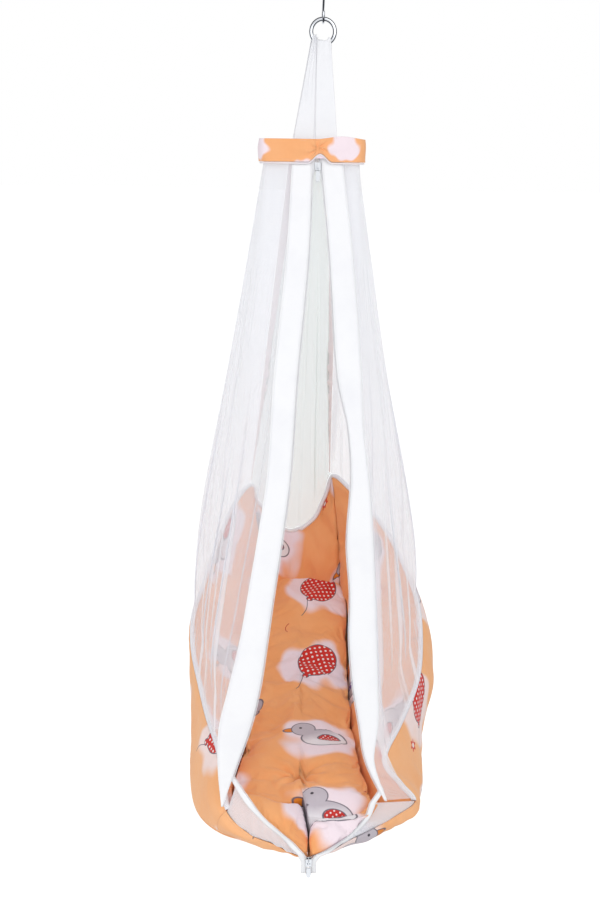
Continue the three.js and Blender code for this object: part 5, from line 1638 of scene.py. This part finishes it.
@dataclass(frozen=True)
class Opening:
    """The zip opening: two white strips, the zip's tapes and coils, and its sliders, pulls and stops."""

    coil_pitch: float = 1.7
    coil_wire: float = 0.42

    def strip(self, side: Side) -> None:
        """A strip of cotton on the leaning plane, with slow buckles towards the front."""
        start = -TENT.sewn_top / TENT.drop(side)
        place, across = spread(260, 19)
        place = start + (1 - start) * place
        points = TENT.strip(side, place, 1, across)
        down = place * TENT.drop(side)
        edge = np.sin(math.pi * across) ** 0.5
        buckle = 0.5 + 0.5 * waves(down, across * 30, 150, 7 + side.value, stretch=0.35)
        buckle = 1.5 * buckle * smooth(place * 8) * edge
        hems = (0.07, 0.93)
        hem = 0.5 * sum(np.exp(-((across - share) / 0.03) ** 2) for share in hems)
        outer = points - TENT.strip_back * (buckle - hem)[..., None]
        inner = points + TENT.strip_back * (TENT.strip_cloth - 0.2)
        width = np.linalg.norm(points[:, -1] - points[:, 0], axis=-1)
        piece = shell(f"strip_{side.word}", outer, inner, np.stack([down * 1.05, across * width[:, None]], -1) * MM)
        cut(outer)
        finished(piece, COTTON, Slot.COTTON, f"front_strip_{side.word}")
        line = np.linspace(0.0, 0.985, 300)
        out = np.tile(-TENT.strip_back, (len(line), 1))
        rows = [(TENT.strip(side, line, 1, share) - TENT.strip_back * 0.35, out) for share in hems]
        stitching(f"strip_stitches_{side.word}", rows, THREAD)

    def zip_half(self, side: Side) -> None:
        """A zip's tape and the coil on its edge: a helix with an oval section, x = a cos, y = b sin of the turn."""
        way, width, back = TENT.zip_way(side)
        reach = TENT.coil_width + TENT.seat
        share = np.linspace(0, 1, 5)[None, :, None]
        across = -TENT.seat * 2 + (TENT.zip_tape + TENT.seat * 2) * share
        face = way[:, None] + width[:, None] * across + back[:, None] * TENT.zip_layer
        behind = face + back[:, None] * TENT.zip_cloth
        length = run_lengths(way)
        uv = np.stack([np.repeat(length[:, None], 5, 1), np.broadcast_to(across[..., 0], (len(way), 5))], -1) * MM
        finished(shell(f"zip_tape_{side.word}", face, behind, uv), ZIP_TAPE, Slot.ZIP, f"zip_half_{side.word}")

        steps = 8
        spots = np.linspace(0, length[-1], int(length[-1] / self.coil_pitch) * steps + 1)
        centre, w, b = (read_along(length, source, spots) for source in (way, width, back))
        w, b = unit(w), unit(b)
        angle = np.arange(len(spots)) * (2 * math.pi / steps)
        across = np.cos(angle) * (TENT.coil_width / 2 - self.coil_wire)
        radial = w * across[:, None] + b * (np.sin(angle) * (TENT.coil_depth / 2 - self.coil_wire))[:, None]
        middle = centre + w * (-reach + TENT.coil_width / 2) + b * (TENT.zip_layer + TENT.zip_cloth / 2)
        coil = new_piece(f"zip_coil_{side.word}", *tube(middle + radial, self.coil_wire, 5, unit(radial)))
        finished(coil, COIL, Slot.ZIP)

    def make(self) -> None:
        """Builds both sides and dresses the metal parts."""
        for side in Side:
            self.strip(side)
            self.zip_half(side)
        for end in ("upper", "lower"):
            for part, bevel in (("slider", 0.25), ("pull", 0.2), ("stop", 0.3)):
                carried(f"zip_{part}_{end}", ZIP_STEEL, bevel)


@dataclass(frozen=True)
class Fold:
    """A place where a net lies over itself: shares of the net's width at its top and foot, and where it starts."""

    top: float
    foot: float
    width: float
    start: float
    depth: float = 0.34


@dataclass(frozen=True)
class NetTent:
    """The tent's net panels and the tapes at its back."""

    left_folds: tuple[Fold, ...] = (
        Fold(0.04, 0.13, 0.025, 0.3), Fold(0.13, 0.27, 0.035, 0.3), Fold(0.24, 0.4, 0.03, 0.4),
        Fold(0.5, 0.52, 0.05, 0.35), Fold(0.64, 0.7, 0.05, 0.3, 0.3), Fold(0.8, 0.84, 0.05, 0.3, 0.3),
    )
    right_folds: tuple[Fold, ...] = (
        Fold(0.06, 0.1, 0.025, 0.3), Fold(0.16, 0.24, 0.035, 0.35), Fold(0.28, 0.38, 0.03, 0.4),
        Fold(0.5, 0.56, 0.05, 0.3), Fold(0.66, 0.7, 0.05, 0.3, 0.3), Fold(0.82, 0.84, 0.05, 0.3, 0.3),
    )
    back_folds: tuple[Fold, ...] = (Fold(0.3, 0.25, 0.09, 0.1, 0.3), Fold(0.7, 0.68, 0.09, 0.2, 0.3))
    billow: float = 13.0
    soft_bend: float = 0.6
    gap: float = 0.7
    behind_tape: float = 0.6

    def hang(
        self, name: str, node: str, finish: Finish, patch: Callable[[Array, Array], Array], folds: Sequence[Fold],
        size: tuple[int, int], sign: float, seed: int, wave: float = 4.0, billow: float = 0.0,
    ) -> None:
        """Makes a net from the patch read at shifted places, so that it doubles back at its folds, plus soft waves.

        A fold moves the reading place by -depth * width * sin(2 pi t) exp(-3 t^2) and the point off the patch by
        2.4 cos(2 pi t) exp(-3 t^2), where t is the distance from the fold's line over its width. The billow swells
        the net off its straight fall by sin(pi (r / turn)^3) sin(pi c), fullest three quarters down.

        Args:
            name, node: the piece's and its CAD node's names.
            finish: the net's.
            patch: the surface between its four edges.
            folds: where it lies over itself.
            size: rows and columns.
            sign: 1 where the patch's normal looks out of the tent.
            seed: for the waves.
            wave, billow: their heights in millimetres.
        """
        r, c = spread(*size)
        shift, off = 0 * c, 0 * c
        for fold in folds:
            line = fold.top + (fold.foot - fold.top) * r
            t = (c - line) / fold.width
            bell = np.exp(-3 * t**2) * smooth((r - fold.start) / 0.3) * smooth((1 - r) / 0.12)
            shift -= fold.depth * fold.width * np.sin(2 * math.pi * t) * bell
            off += 2.4 * np.cos(2 * math.pi * t) * bell
        edge = np.sin(math.pi * np.clip(r, 0, 1)) ** 0.8 * np.sin(math.pi * c) ** 0.6
        read = np.clip(c + shift * np.sin(math.pi * c) ** 0.15, 0, 1)
        relief = wave * waves(c * 420, r * 900, 120, seed, stretch=7.0) * edge + off * np.minimum(edge * 3, 1)
        relief = relief + billow * np.sin(math.pi * np.minimum(1, r / TENT.net_turn) ** 3) * np.sin(math.pi * c)
        points = patch(r, read) + grid_normals(patch(r, c)) * sign * relief[..., None]
        uv = cloth_uv(points)
        uv[..., 1] = uv[-1, :, 1]  # each column keeps the place that it has at the foot, so threads fan with the folds
        piece = sheet(name, points, 0, (0, 0, -600), uv)
        cut(points)
        finished(piece, finish, Slot.NET, node)

    def edges(self, line: Callable[[Array], Array], corner: Array) -> tuple[Callable, Callable]:
        """Two ways for a net's edge: down a line to the turn and then straight to the corner, or bending there softly.

        The soft one is the line plus the last step times ((r - b) / (1 - b))^2 below the bend b.
        """
        turn, bend = TENT.net_turn, self.soft_bend
        last = line(1.0)

        def sharp(r: Array) -> Array:
            """The edge as it is sewn."""
            return mix(line(np.minimum(r / turn, 1)), corner, over_end(r, turn))

        def soft(r: Array) -> Array:
            """The edge that the net's middle follows."""
            return line(r) + (corner - last) * over_end(r, bend)[..., None] ** 2

        return sharp, soft

    def side_net(self, side: Side) -> None:
        """A side's net: from a strip's outer edge round the collar's inside to the back tape, down to the rim."""
        low, high = (LEFT_CORNER, LEFT_EAR) if side is Side.LEFT else (RIGHT_EAR, RIGHT_CORNER)
        seam = TUB.stations(low, high, self.gap)
        station = seam if side is Side.LEFT else (lambda c: seam(1 - c))
        tape = TENT.back_line(side)

        def behind_strip(place: Array) -> Array:
            """The net's line behind the strip."""
            above = TENT.net_top / TENT.drop(side)
            top = -above + (1 + above) * place
            edge = TENT.strip(side, top, 2)
            width = np.abs(edge[..., 0] - TENT.strip(side, top, 1)[..., 0])
            edge[..., 0] -= side.value * np.minimum(TENT.net_tuck, width * 0.22)
            return edge + TENT.strip_back * TENT.net_layer

        front, soft_front = self.edges(behind_strip, TUB.net_foot(station(0.0)))
        back, soft_back = self.edges(lambda r: tape(r, 1, 3 * TENT.seat, self.behind_tape), TUB.net_foot(station(1.0)))
        first, last = front(0.0), back(0.0)
        lean = (TUB.rim_half_width - TENT.collar_width / 2) / TUB.tent_drop * 1.6
        inset = TENT.piping + 3 * TENT.seat + TENT.net_cloth + lean * (TENT.net_top + 2 * TENT.piping)
        start = TENT.outline_place(inset, float(first[0]), True)
        end = TENT.outline_place(inset, float(last[0]), False) + (0 if side is Side.RIGHT else 4)

        def top(c: Array) -> Array:
            """The gathered edge inside the collar."""
            point = TENT.outline(inset, start + (end - start) * c)
            squeeze = np.where(point[..., 1] < 0, -first[1], last[1]) / (TENT.collar_depth / 2 - inset)
            point[..., 0] += TENT.collar_shift
            point[..., 1] *= squeeze
            point = mix(first, point, smooth(np.minimum(1, c * 6)))
            point = mix(point, last, smooth(np.maximum(0, c * 6 - 5)))
            point[..., 2] = first[2] + (last[2] - first[2]) * c
            return point

        patch = patch_between(
            top, lambda c: TUB.net_foot(station(c)), front, back, lambda c: 1 - (1 - np.asarray(c)) ** 3,
            (soft_front, soft_back))
        folds = self.left_folds if side is Side.LEFT else self.right_folds
        self.hang(
            f"net_panel_{side.word}", f"net_{side.word}", SIDE_NET, patch, folds, (150, 300), side.value,
            31 + side.value, billow=self.billow)

    def back_net(self) -> None:
        """The back net between the two tapes, down to the head's rim."""
        seam = TUB.stations(LEFT_EAR, RIGHT_EAR, self.gap)
        (left, soft_left), (right, soft_right) = (
            self.edges(
                lambda r, at=TENT.back_line(side): at(r, -1, 3 * TENT.seat, self.behind_tape), TUB.net_foot(seam(end)))
            for side, end in ((Side.LEFT, 0.0), (Side.RIGHT, 1.0))
        )
        patch = patch_between(
            lambda c: mix(left(0.0), right(0.0), c), lambda c: TUB.net_foot(seam(c)), left, right,
            soft=(soft_left, soft_right))
        self.hang("net_panel_back", "net_back", BACK_NET, patch, self.back_folds, (130, 90), -1, 57, 3.0)

    def back_tapes(self) -> None:
        """The narrow tapes from the collar's back to the tub's ears."""
        for side in Side:
            at = TENT.back_line(side)
            place, across = spread(260, 13)
            edge = across * 2 - 1
            ruffle = smooth(place * 1.6 - 0.4) * smooth((1 - place) * 6) * (0.5 - 0.5 * edge)
            points = at(place, edge * (1 + ruffle * (1.6 + 1.2 * waves(place * 620, 0 * place, 110, 12))))
            lift = 0.6 + 2.6 * ruffle * np.sin(place * 92 + 2 * np.sin(place * 19))
            points = points + np.array([0, 1.0, 0]) * (lift * np.sin(math.pi * place))[..., None]
            piece = sheet(f"back_tape_cloth_{side.word}", points, 0.9, (0, 0, -600))
            cut(points)
            finished(piece, BACK_TAPE, Slot.COTTON, f"back_tape_{side.word}")

    def foot_net(self, side: Side) -> None:
        """The net band between the foot's zip, the rim and the seam behind the foot cover."""
        along, down = spread(110, 34)
        band = foot_band(side)
        share, rows = 0.002 + 0.975 * along, 0.03 + 0.97 * down
        points = band(share, rows, 0.0)
        middle = np.sin(math.pi * along) ** 0.5 * np.sin(math.pi * down)
        slack = 1.8 * waves(along * 180, down * 50, 30, 71 + side.value, stretch=2.5) * middle
        outward = band(share, rows, -1.0) - points
        points = points + grid_normals(points) * slack[..., None] + outward * (2.6 * middle)[..., None]
        piece = sheet(f"foot_net_cloth_{side.word}", points, 0, (0, -200, -930))
        cut(points)
        finished(piece, FOOT_NET, Slot.NET, f"foot_net_{side.word}")

    def make(self) -> None:
        """Builds all the nets and the back tapes."""
        self.back_tapes()
        self.back_net()
        for side in Side:
            self.side_net(side)
            self.foot_net(side)


BAND_RIM = 0.75  # where the foot's band passes the rim, as a share of its way down
BAND_FOOT = 0.86  # where it ends behind the cover, as a share of the wall's height


def foot_band(side: Side) -> Callable[[Array, Array, float], Array]:
    """The surface from the foot's zip (down 0) over the rim to behind the foot cover (down 1), set in by a depth."""
    line = TENT.foot_line(side)

    def at(along: Array, down: Array, depth: float) -> Array:
        """Its points."""
        station = TENT.foot_station(side, along)
        point, _, back = line(along)
        high = point + back * TENT.net_layer
        behind = TUB.cover_cloth + 5 * TUB.seat
        rim = TUB.inset(station, 1.0, behind) + TUB.rim_up(station) * TUB.seat
        low = TUB.inset(station, BAND_FOOT, behind)
        upper, lower = mix(high, rim, np.minimum(down / BAND_RIM, 1)), mix(rim, low, over_end(down, BAND_RIM))
        return np.where((down < BAND_RIM)[..., None], upper, lower) + back * depth

    return at


@dataclass(frozen=True)
class Lump:
    """A place where the wadding swells the cover: a bell at a station and a share of the wall's height."""

    station: float
    rise: float
    reach: float
    height: float
    depth: float


@dataclass(frozen=True)
class TubShell:
    """The tub's printed covers, its floor and the bindings along its rim."""

    cloth: float = 1.2
    floor_cloth: float = 1.4
    gap: float = 0.2
    lumps: tuple[Lump, ...] = (
        Lump(4.6, 0.62, 0.7, 0.3, 6.0), Lump(3.5, 0.7, 0.5, 0.3, 5.0), Lump(29.4, 0.66, 0.45, 0.3, 5.0),
        Lump(28.3, 0.5, 0.6, 0.35, 6.0), Lump(2.0, 0.35, 0.6, 0.4, 4.0), Lump(31.3, 0.4, 0.6, 0.4, 4.0),
    )

    def cover(self, name: str, node: str, start: float, end: float, rows: int, seed: int, gather: float) -> None:
        """A wall panel: the wall's face pushed out by puckers at its rim and floor seams and by soft creases."""
        station = TUB.stations(start, end, self.gap)
        share, rise = spread(rows, 46)
        places = station(share)
        face = TUB.inset(places, rise, 0.0)
        uv = cloth_uv(face, seed * 0.37, seed * 0.21)
        u, v = uv[..., 0] / MM, uv[..., 1] / MM
        up = np.linalg.norm(face - face[:, -1:], axis=-1)
        down = np.linalg.norm(face - face[:, :1], axis=-1)
        pucker = 0.5 + 0.5 * np.sin(u / 4.6 + 2.2 * np.sin(u / 23 + seed))
        seams = np.exp(-up / 16) * smooth(up / 4) + 0.8 * np.exp(-down / 14) * smooth(down / 4)
        proud = 0.3 + gather * pucker * seams
        fade = smooth(up / 12) * smooth(down / 12)
        creases = 1.6 * (0.5 + 0.5 * waves(u, v, 52, seed))
        proud = proud + fade * (creases + 2.2 * np.maximum(waves(u, v, 120, seed + 1, stretch=1.8), 0))
        for lump in self.lumps:
            bell = ((places - lump.station) / lump.reach) ** 2 + ((rise - lump.rise) / lump.height) ** 2
            proud = proud + lump.depth * np.exp(-bell) * fade
        outer = face + TUB.wall_normal(places, rise) * proud[..., None]
        piece = shell(name, outer, TUB.inset(places, rise, self.cloth), uv)
        cut(outer)
        finished(piece, PRINT, Slot.PRINT, node)

    def floor(self) -> None:
        """The floor's cloth, which sags a little between its seams: rows across the tub at each y."""
        stations = np.linspace(0, LAST, 2400)
        edge = TUB.floor_edge(stations)
        left = stations <= sum(HEAD_SEAM) / 2
        foot = max(edge[0, 1], edge[-1, 1])
        head = min(TUB.floor_edge(station)[1] for station in HEAD_SEAM)
        share, across = spread(150, 70)
        y = foot + (head - foot) * (1 - np.cos(math.pi * share)) / 2
        low = np.interp(y, edge[left, 1], edge[left, 0])
        high = np.interp(y, edge[~left, 1][::-1], edge[~left, 0][::-1])
        x = low + (high - low) * across
        middle = np.sin(math.pi * across) ** 0.6 * np.sin(math.pi * share) ** 0.6
        sag = middle * (3.0 + 1.6 * waves(x, y, 110, 4))
        under = xyz(x, y, TUB.floor_z(y, 0.0) - np.maximum(sag, 0))
        upper = xyz(x, y, TUB.floor_z(y, self.floor_cloth))
        piece = shell("floor_cloth", upper, under, np.stack([x, y], -1) * MM)
        cut(under)
        finished(piece, PRINT, Slot.PRINT, "base_cover")

    def binding(self, name: str, node: str, start: float, end: float, rows: int) -> None:
        """The folded band over the rim: an arch from the cover's face over the rim to the padding's face."""
        station = TUB.stations(start, end, self.gap)
        share, across = spread(rows, 13)
        places = station(share)
        depth = TUB.padding_inset + TUB.padding_at_rim
        line = 0.5 - 0.5 * np.cos(math.pi * across)
        lift = TUB.seat + TUB.binding_height * np.sin(math.pi * np.clip(across, 0.02, 0.98)) ** 0.35
        across_rim = mix(TUB.inset(places, 1.0, 0.0), TUB.inset(places, 1.0, depth), line)
        up = TUB.rim_up(places)
        outer = across_rim + up * lift[..., None]
        finished(shell(name, outer, across_rim + up * TUB.seat, cloth_uv(outer)), BINDING, Slot.COTTON, node)
        fine = station(np.linspace(0, 1, rows * 3))
        out = TUB.wall_normal(fine, 1.0)
        path = TUB.inset(fine, 1.0, 0.0) + TUB.rim_up(fine) * 1.6 + out * 0.15
        stitching(f"{name}_stitches", [(path, out)], THREAD)

    def make(self) -> None:
        """Builds the covers, the floor and the bindings."""
        self.floor()
        for seed, (place, start, end, rows, gather) in enumerate((
            ("foot_{}_left", 0, LEFT_CORNER, 90, 1.6), ("side_{}_left", LEFT_CORNER, LEFT_EAR, 260, 1.2),
            ("head_{}", LEFT_EAR, RIGHT_EAR, 120, 1.2), ("side_{}_right", RIGHT_EAR, RIGHT_CORNER, 300, 1.2),
            ("foot_{}_right", RIGHT_CORNER, LAST, 100, 1.6),
        ), 1):
            self.cover(place.format("wall"), place.format("cover"), start, end, rows, seed, gather)
        for place, start, end, rows in WALLS:
            self.binding(f"rim_band_{place}", f"rim_binding_{place}", start, end, rows)


@dataclass(frozen=True)
class TubPadding:
    """The stuffed linings of the tub's walls and foot."""

    stuffing: Stuffing = Stuffing(cap=13.0)
    gap: float = 0.7
    face_gap: float = 6.0
    plump: float = 5.0
    foot_plump: float = 11.0
    tip_bulge: float = 7.0
    kerb_height: float = 28.0
    kerb_round: float = 12.0

    def wall(self, name: str, node: str, start: float, end: float, rows: int, seed: int) -> None:
        """A wall's lining, closed between the cover and its own inner face, whose face starts hollow and is stuffed."""
        station, narrow = (TUB.stations(start, end, gap) for gap in (self.gap, self.face_gap))
        share, rise = spread(rows, 22)
        outer = TUB.inset(station(share), rise, TUB.padding_inset)
        places = narrow(share) + (station(share) - narrow(share)) * rise**8
        face = TUB.padding_face(places, rise)
        thick = np.linalg.norm(face - outer, axis=-1)
        belly = np.sin(math.pi * np.clip(rise, 0, 1)) ** 0.6 * np.sin(math.pi * share) ** 0.3
        hollow = np.minimum(5.5, thick * 0.35) * belly
        face = face + unit(outer - face) * hollow[..., None]
        uv = cloth_uv(TUB.padding_face(station(share), rise), seed * 0.31, seed * 0.17)
        piece = shell(name, outer, face, uv)
        number = np.arange(share.size).reshape(share.shape)
        self.stuffing.fill(piece, np.concatenate([number.ravel(), share.size + border(number)]))
        finished(piece, LINING_PRINT, Slot.LINING, node)

    def foot(self, side: Side) -> None:
        """A foot lining: a plump lump from the mattress out to the foot cover and the zip line."""
        band = foot_band(side)
        depth = TENT.net_cloth + 4 * TENT.seat
        share, out = spread(60, 40)
        along = 0.03 + 0.95 * share
        station = TENT.foot_station(side, along)
        kerb = TUB.bed_edge(station)
        start = xyz(kerb[..., 0], kerb[..., 1], TUB.floor_z(kerb[..., 1], TUB.base_top + self.kerb_height))
        top = mix(start, band(along, np.full_like(along, 0.16), depth), out)
        rounding = np.sqrt(1 - (1 - np.minimum(out / 0.3, 1)) ** 2) * np.sqrt(1 - out)
        ends = 1 - np.abs(2 * share - 1) ** 10
        top[..., 2] += (self.kerb_round * rounding + self.foot_plump * np.sin(math.pi * out)) * ends
        top[..., 0] -= side.value * self.tip_bulge * share**10 * np.sin(2.4 * out**1.3)
        wall_depth = TUB.cover_cloth + 5 * TUB.seat + depth + 3
        on_floor = mix(kerb, TUB.inset(station, 0.0, wall_depth), np.minimum(out * 3, 1))
        on_floor[..., 2] = TUB.floor_z(on_floor[..., 1], TUB.base_top)
        up_wall = TUB.inset(station, np.clip(out * 3 - 1, 0, 1) * BAND_FOOT * 0.9, wall_depth)
        up_band = band(along, 1 + (0.32 - 1) * np.clip(out * 3 - 2, 0, 1), depth)
        bottom = np.where((out <= 1 / 3)[..., None], on_floor, np.where((out <= 2 / 3)[..., None], up_wall, up_band))
        piece = shell(f"foot_lining_{side.word}", top, bottom, (top[..., :2] + Mattress.print_place) * MM)
        number = np.arange(share.size).reshape(share.shape)
        Stuffing(cap=6.0, slack=0.05).fill(piece, np.concatenate([share.size + number.ravel(), border(number)]))
        finished(piece, BED_PRINT, Slot.LINING, f"foot_padding_{side.word}")

    def make(self) -> None:
        """Builds the linings."""
        for seed, (place, rows, (_, start, end, _)) in enumerate(
                zip(("side_{}_left", "head_{}", "side_{}_right"), (110, 64, 130), WALLS), 1):
            self.wall(place.format("lining"), place.format("padding"), start, end, rows, seed)
        for side in Side:
            self.foot(side)


@dataclass(frozen=True)
class Mattress:
    """The tufted mattress: closed cloth over wadding, pinned at its tuft while it is stuffed."""

    height: float = 54.0
    side: float = 36.0
    gap: float = 4.0
    tuft: tuple[float, float] = (-16.0, -232.0)
    tuft_depth: float = 15.0
    tuft_radius: float = 34.0
    print_place: tuple[float, float] = (65.0, 35.0)
    rows: int = 190
    columns: int = 76

    def plan(self, r: Array, c: Array) -> Array:
        """The mattress's plan between its four edges; its foot edge steps out on the right."""

        def foot(share: Array) -> Array:
            """The stepped foot edge."""
            near = TUB.bed_edge(LEFT_CORNER * (1 - np.minimum(share / 0.5, 1)))
            far = TUB.bed_edge(LAST + (RIGHT_CORNER - LAST) * over_end(share, 0.5))
            return np.where(np.asarray(share <= 0.5)[..., None], near, far)

        def edge(start: float, end: float) -> Callable[[Array], Array]:
            """The edge between two stations."""
            return lambda share: TUB.bed_edge(start + (end - start) * share)

        patch = patch_between(
            foot, edge(LEFT_EAR, RIGHT_EAR), edge(LEFT_CORNER, LEFT_EAR), edge(RIGHT_CORNER, RIGHT_EAR))
        edge_c, edge_r = 2 * self.gap / TUB.rim_half_width, self.gap / TUB.foot_reach
        return patch(edge_r + (1 - 2 * edge_r) * r, edge_c + (1 - 2 * edge_c) * c)

    def make(self) -> None:
        """Builds the mattress with its dimple and wrinkles, and stuffs it."""
        r, c = spread(self.rows, self.columns)
        points = self.plan(r, c)
        crown = (self.height - self.side) * (1 - np.abs(2 * c - 1) ** 5) * (1 - np.abs(2 * r - 1) ** 12)
        away = np.hypot(points[..., 0] - self.tuft[0], points[..., 1] - self.tuft[1])
        angle = np.arctan2(points[..., 1] - self.tuft[1], points[..., 0] - self.tuft[0])
        dimple = 0.75 * np.exp(-2 * (away / self.tuft_radius) ** 2) + 0.45 * np.exp(-((away / 9) ** 2))
        dimple *= self.tuft_depth
        rays = 3.6 * np.exp(-((away - 20) / 16) ** 2) * np.sin(7 * angle + 1.8 * np.sin(2 * angle))
        bed = TUB.base_top + TUB.seat
        x, y = points[..., 0], points[..., 1]
        top = xyz(x, y, TUB.floor_z(y, bed + self.side + crown * 0.8 - dimple + rays))
        piece = shell("tufted_mattress", top, xyz(x, y, TUB.floor_z(y, bed)), (points[..., :2] + self.print_place) * MM)
        number = np.arange(r.size).reshape(r.shape)
        seams = np.concatenate([r.size + number.ravel(), number[away < 5]])
        Stuffing(cap=9.0, slack=0.035, frames=16).fill(piece, seams)
        finished(piece, BED_PRINT, Slot.MATTRESS, "mattress")


# ---------------------------------------------------------------------------------------------------------------
# Studio


WHITE = (1, 1, 1, 1)


@dataclass(frozen=True)
class Lamp:
    """A lamp's place and the point that it looks at, in metres, its side and its power in watts."""

    place: tuple[float, float, float]
    target: tuple[float, float, float]
    size: float
    power: float


@dataclass(frozen=True)
class Studio:
    """Camera at the photograph's angle, soft lamps, pale surroundings and a pale floor."""

    place: tuple[float, float, float] = (-0.0694, -1.635, -0.25)
    pitch: float = 15.8
    yaw: float = -2.0
    roll: float = 0.8
    shift: float = -0.01
    lens: float = 40.72
    sensor: float = 36.0
    floor_z: float = -1.56
    floor_half: float = 50.0
    floor_glow: float = 0.58
    world: float = 0.63
    key: Lamp = Lamp((1.25, -2.0, 0.6), (0, -0.05, -0.75), 1.9, 18.5)
    fill: Lamp = Lamp((-1.5, -1.75, -0.2), (0, 0, -0.7), 1.8, 15.0)

    def camera(self) -> None:
        """A camera whose axes come from its pitch, yaw and roll."""
        data = bpy.data.cameras.new("camera")
        data.sensor_width, data.lens, data.shift_x = self.sensor, self.lens, self.shift
        data.clip_start, data.clip_end = 0.05, 200.0
        a, p, r = (math.radians(v) for v in (self.yaw, self.pitch, self.roll))
        ahead = np.array([-math.sin(a) * math.cos(p), math.cos(a) * math.cos(p), -math.sin(p)])
        right = np.array([math.cos(a), math.sin(a), 0.0])
        up = np.cross(right, ahead)
        right, up = math.cos(r) * right + math.sin(r) * up, math.cos(r) * up - math.sin(r) * right
        turn = Matrix(np.stack([right, up, -ahead], 1).tolist()).to_4x4()
        bpy.context.scene.camera = linked("camera", data)
        bpy.context.scene.camera.matrix_world = Matrix.Translation(Vector(self.place)) @ turn

    def light(self, name: str, lamp: Lamp) -> None:
        """A square area lamp that looks at a point."""
        data = bpy.data.lights.new(name, "AREA")
        data.shape, data.size, data.energy = "SQUARE", lamp.size, lamp.power
        turn = (Vector(lamp.target) - Vector(lamp.place)).to_track_quat("-Z", "Y").to_matrix().to_4x4()
        linked(name, data).matrix_world = Matrix.Translation(Vector(lamp.place)) @ turn

    def surroundings(self) -> None:
        """A world that is white to the camera and in reflections, and lights the rest at a plain level."""
        s = Sketch("studio", world=True)
        plain = s.shader("Background", {"Color": (0.97, 0.985, 1, 1), "Strength": self.world})
        pale = s.shader("Background", {"Color": WHITE, "Strength": 1.0})
        bpy.context.scene.world = s.surface(s.blend(s.seen(), plain, pale))

    def floor(self) -> None:
        """A wide pale floor under the cradle, lifted to white for the camera so that only the shadow shows."""
        half = self.floor_half
        corners = [(x * half, y * half, self.floor_z) for x, y in ((-1, -1), (1, -1), (1, 1), (-1, 1))]
        mesh = bpy.data.meshes.new("studio_floor")
        mesh.from_pydata(corners, [], [(0, 1, 2, 3)])
        floor = linked("studio_floor", mesh)
        s = Sketch("studio_floor")
        matt = s.shader("BsdfDiffuse", {"Color": (0.8, 0.8, 0.8, 1)})
        glow = s.shader("Emission", {"Color": WHITE, "Strength": s.seen() * self.floor_glow})
        lit = s.shader("AddShader", {0: matt, 1: glow})
        behind = Signal(s, s.node("NewGeometry").outputs["Backfacing"])
        mesh.materials.append(s.surface(s.blend(behind, lit, s.shader("BsdfTransparent"))))

    def make(self) -> None:
        """Sets up the whole studio."""
        bpy.context.scene.view_settings.view_transform = "Standard"
        self.camera()
        self.surroundings()
        self.floor()
        self.light("key", self.key)
        self.light("fill", self.fill)


def main() -> None:
    logging.basicConfig(level=logging.INFO, format="%(name)s: %(message)s")
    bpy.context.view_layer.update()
    Studio().make()
    Steelwork().make()
    HangingTapes().make()
    Collar().make()
    Opening().make()
    TubShell().make()
    NetTent().make()
    TubPadding().make()
    Mattress().make()


if __name__ == "__main__":
    main()
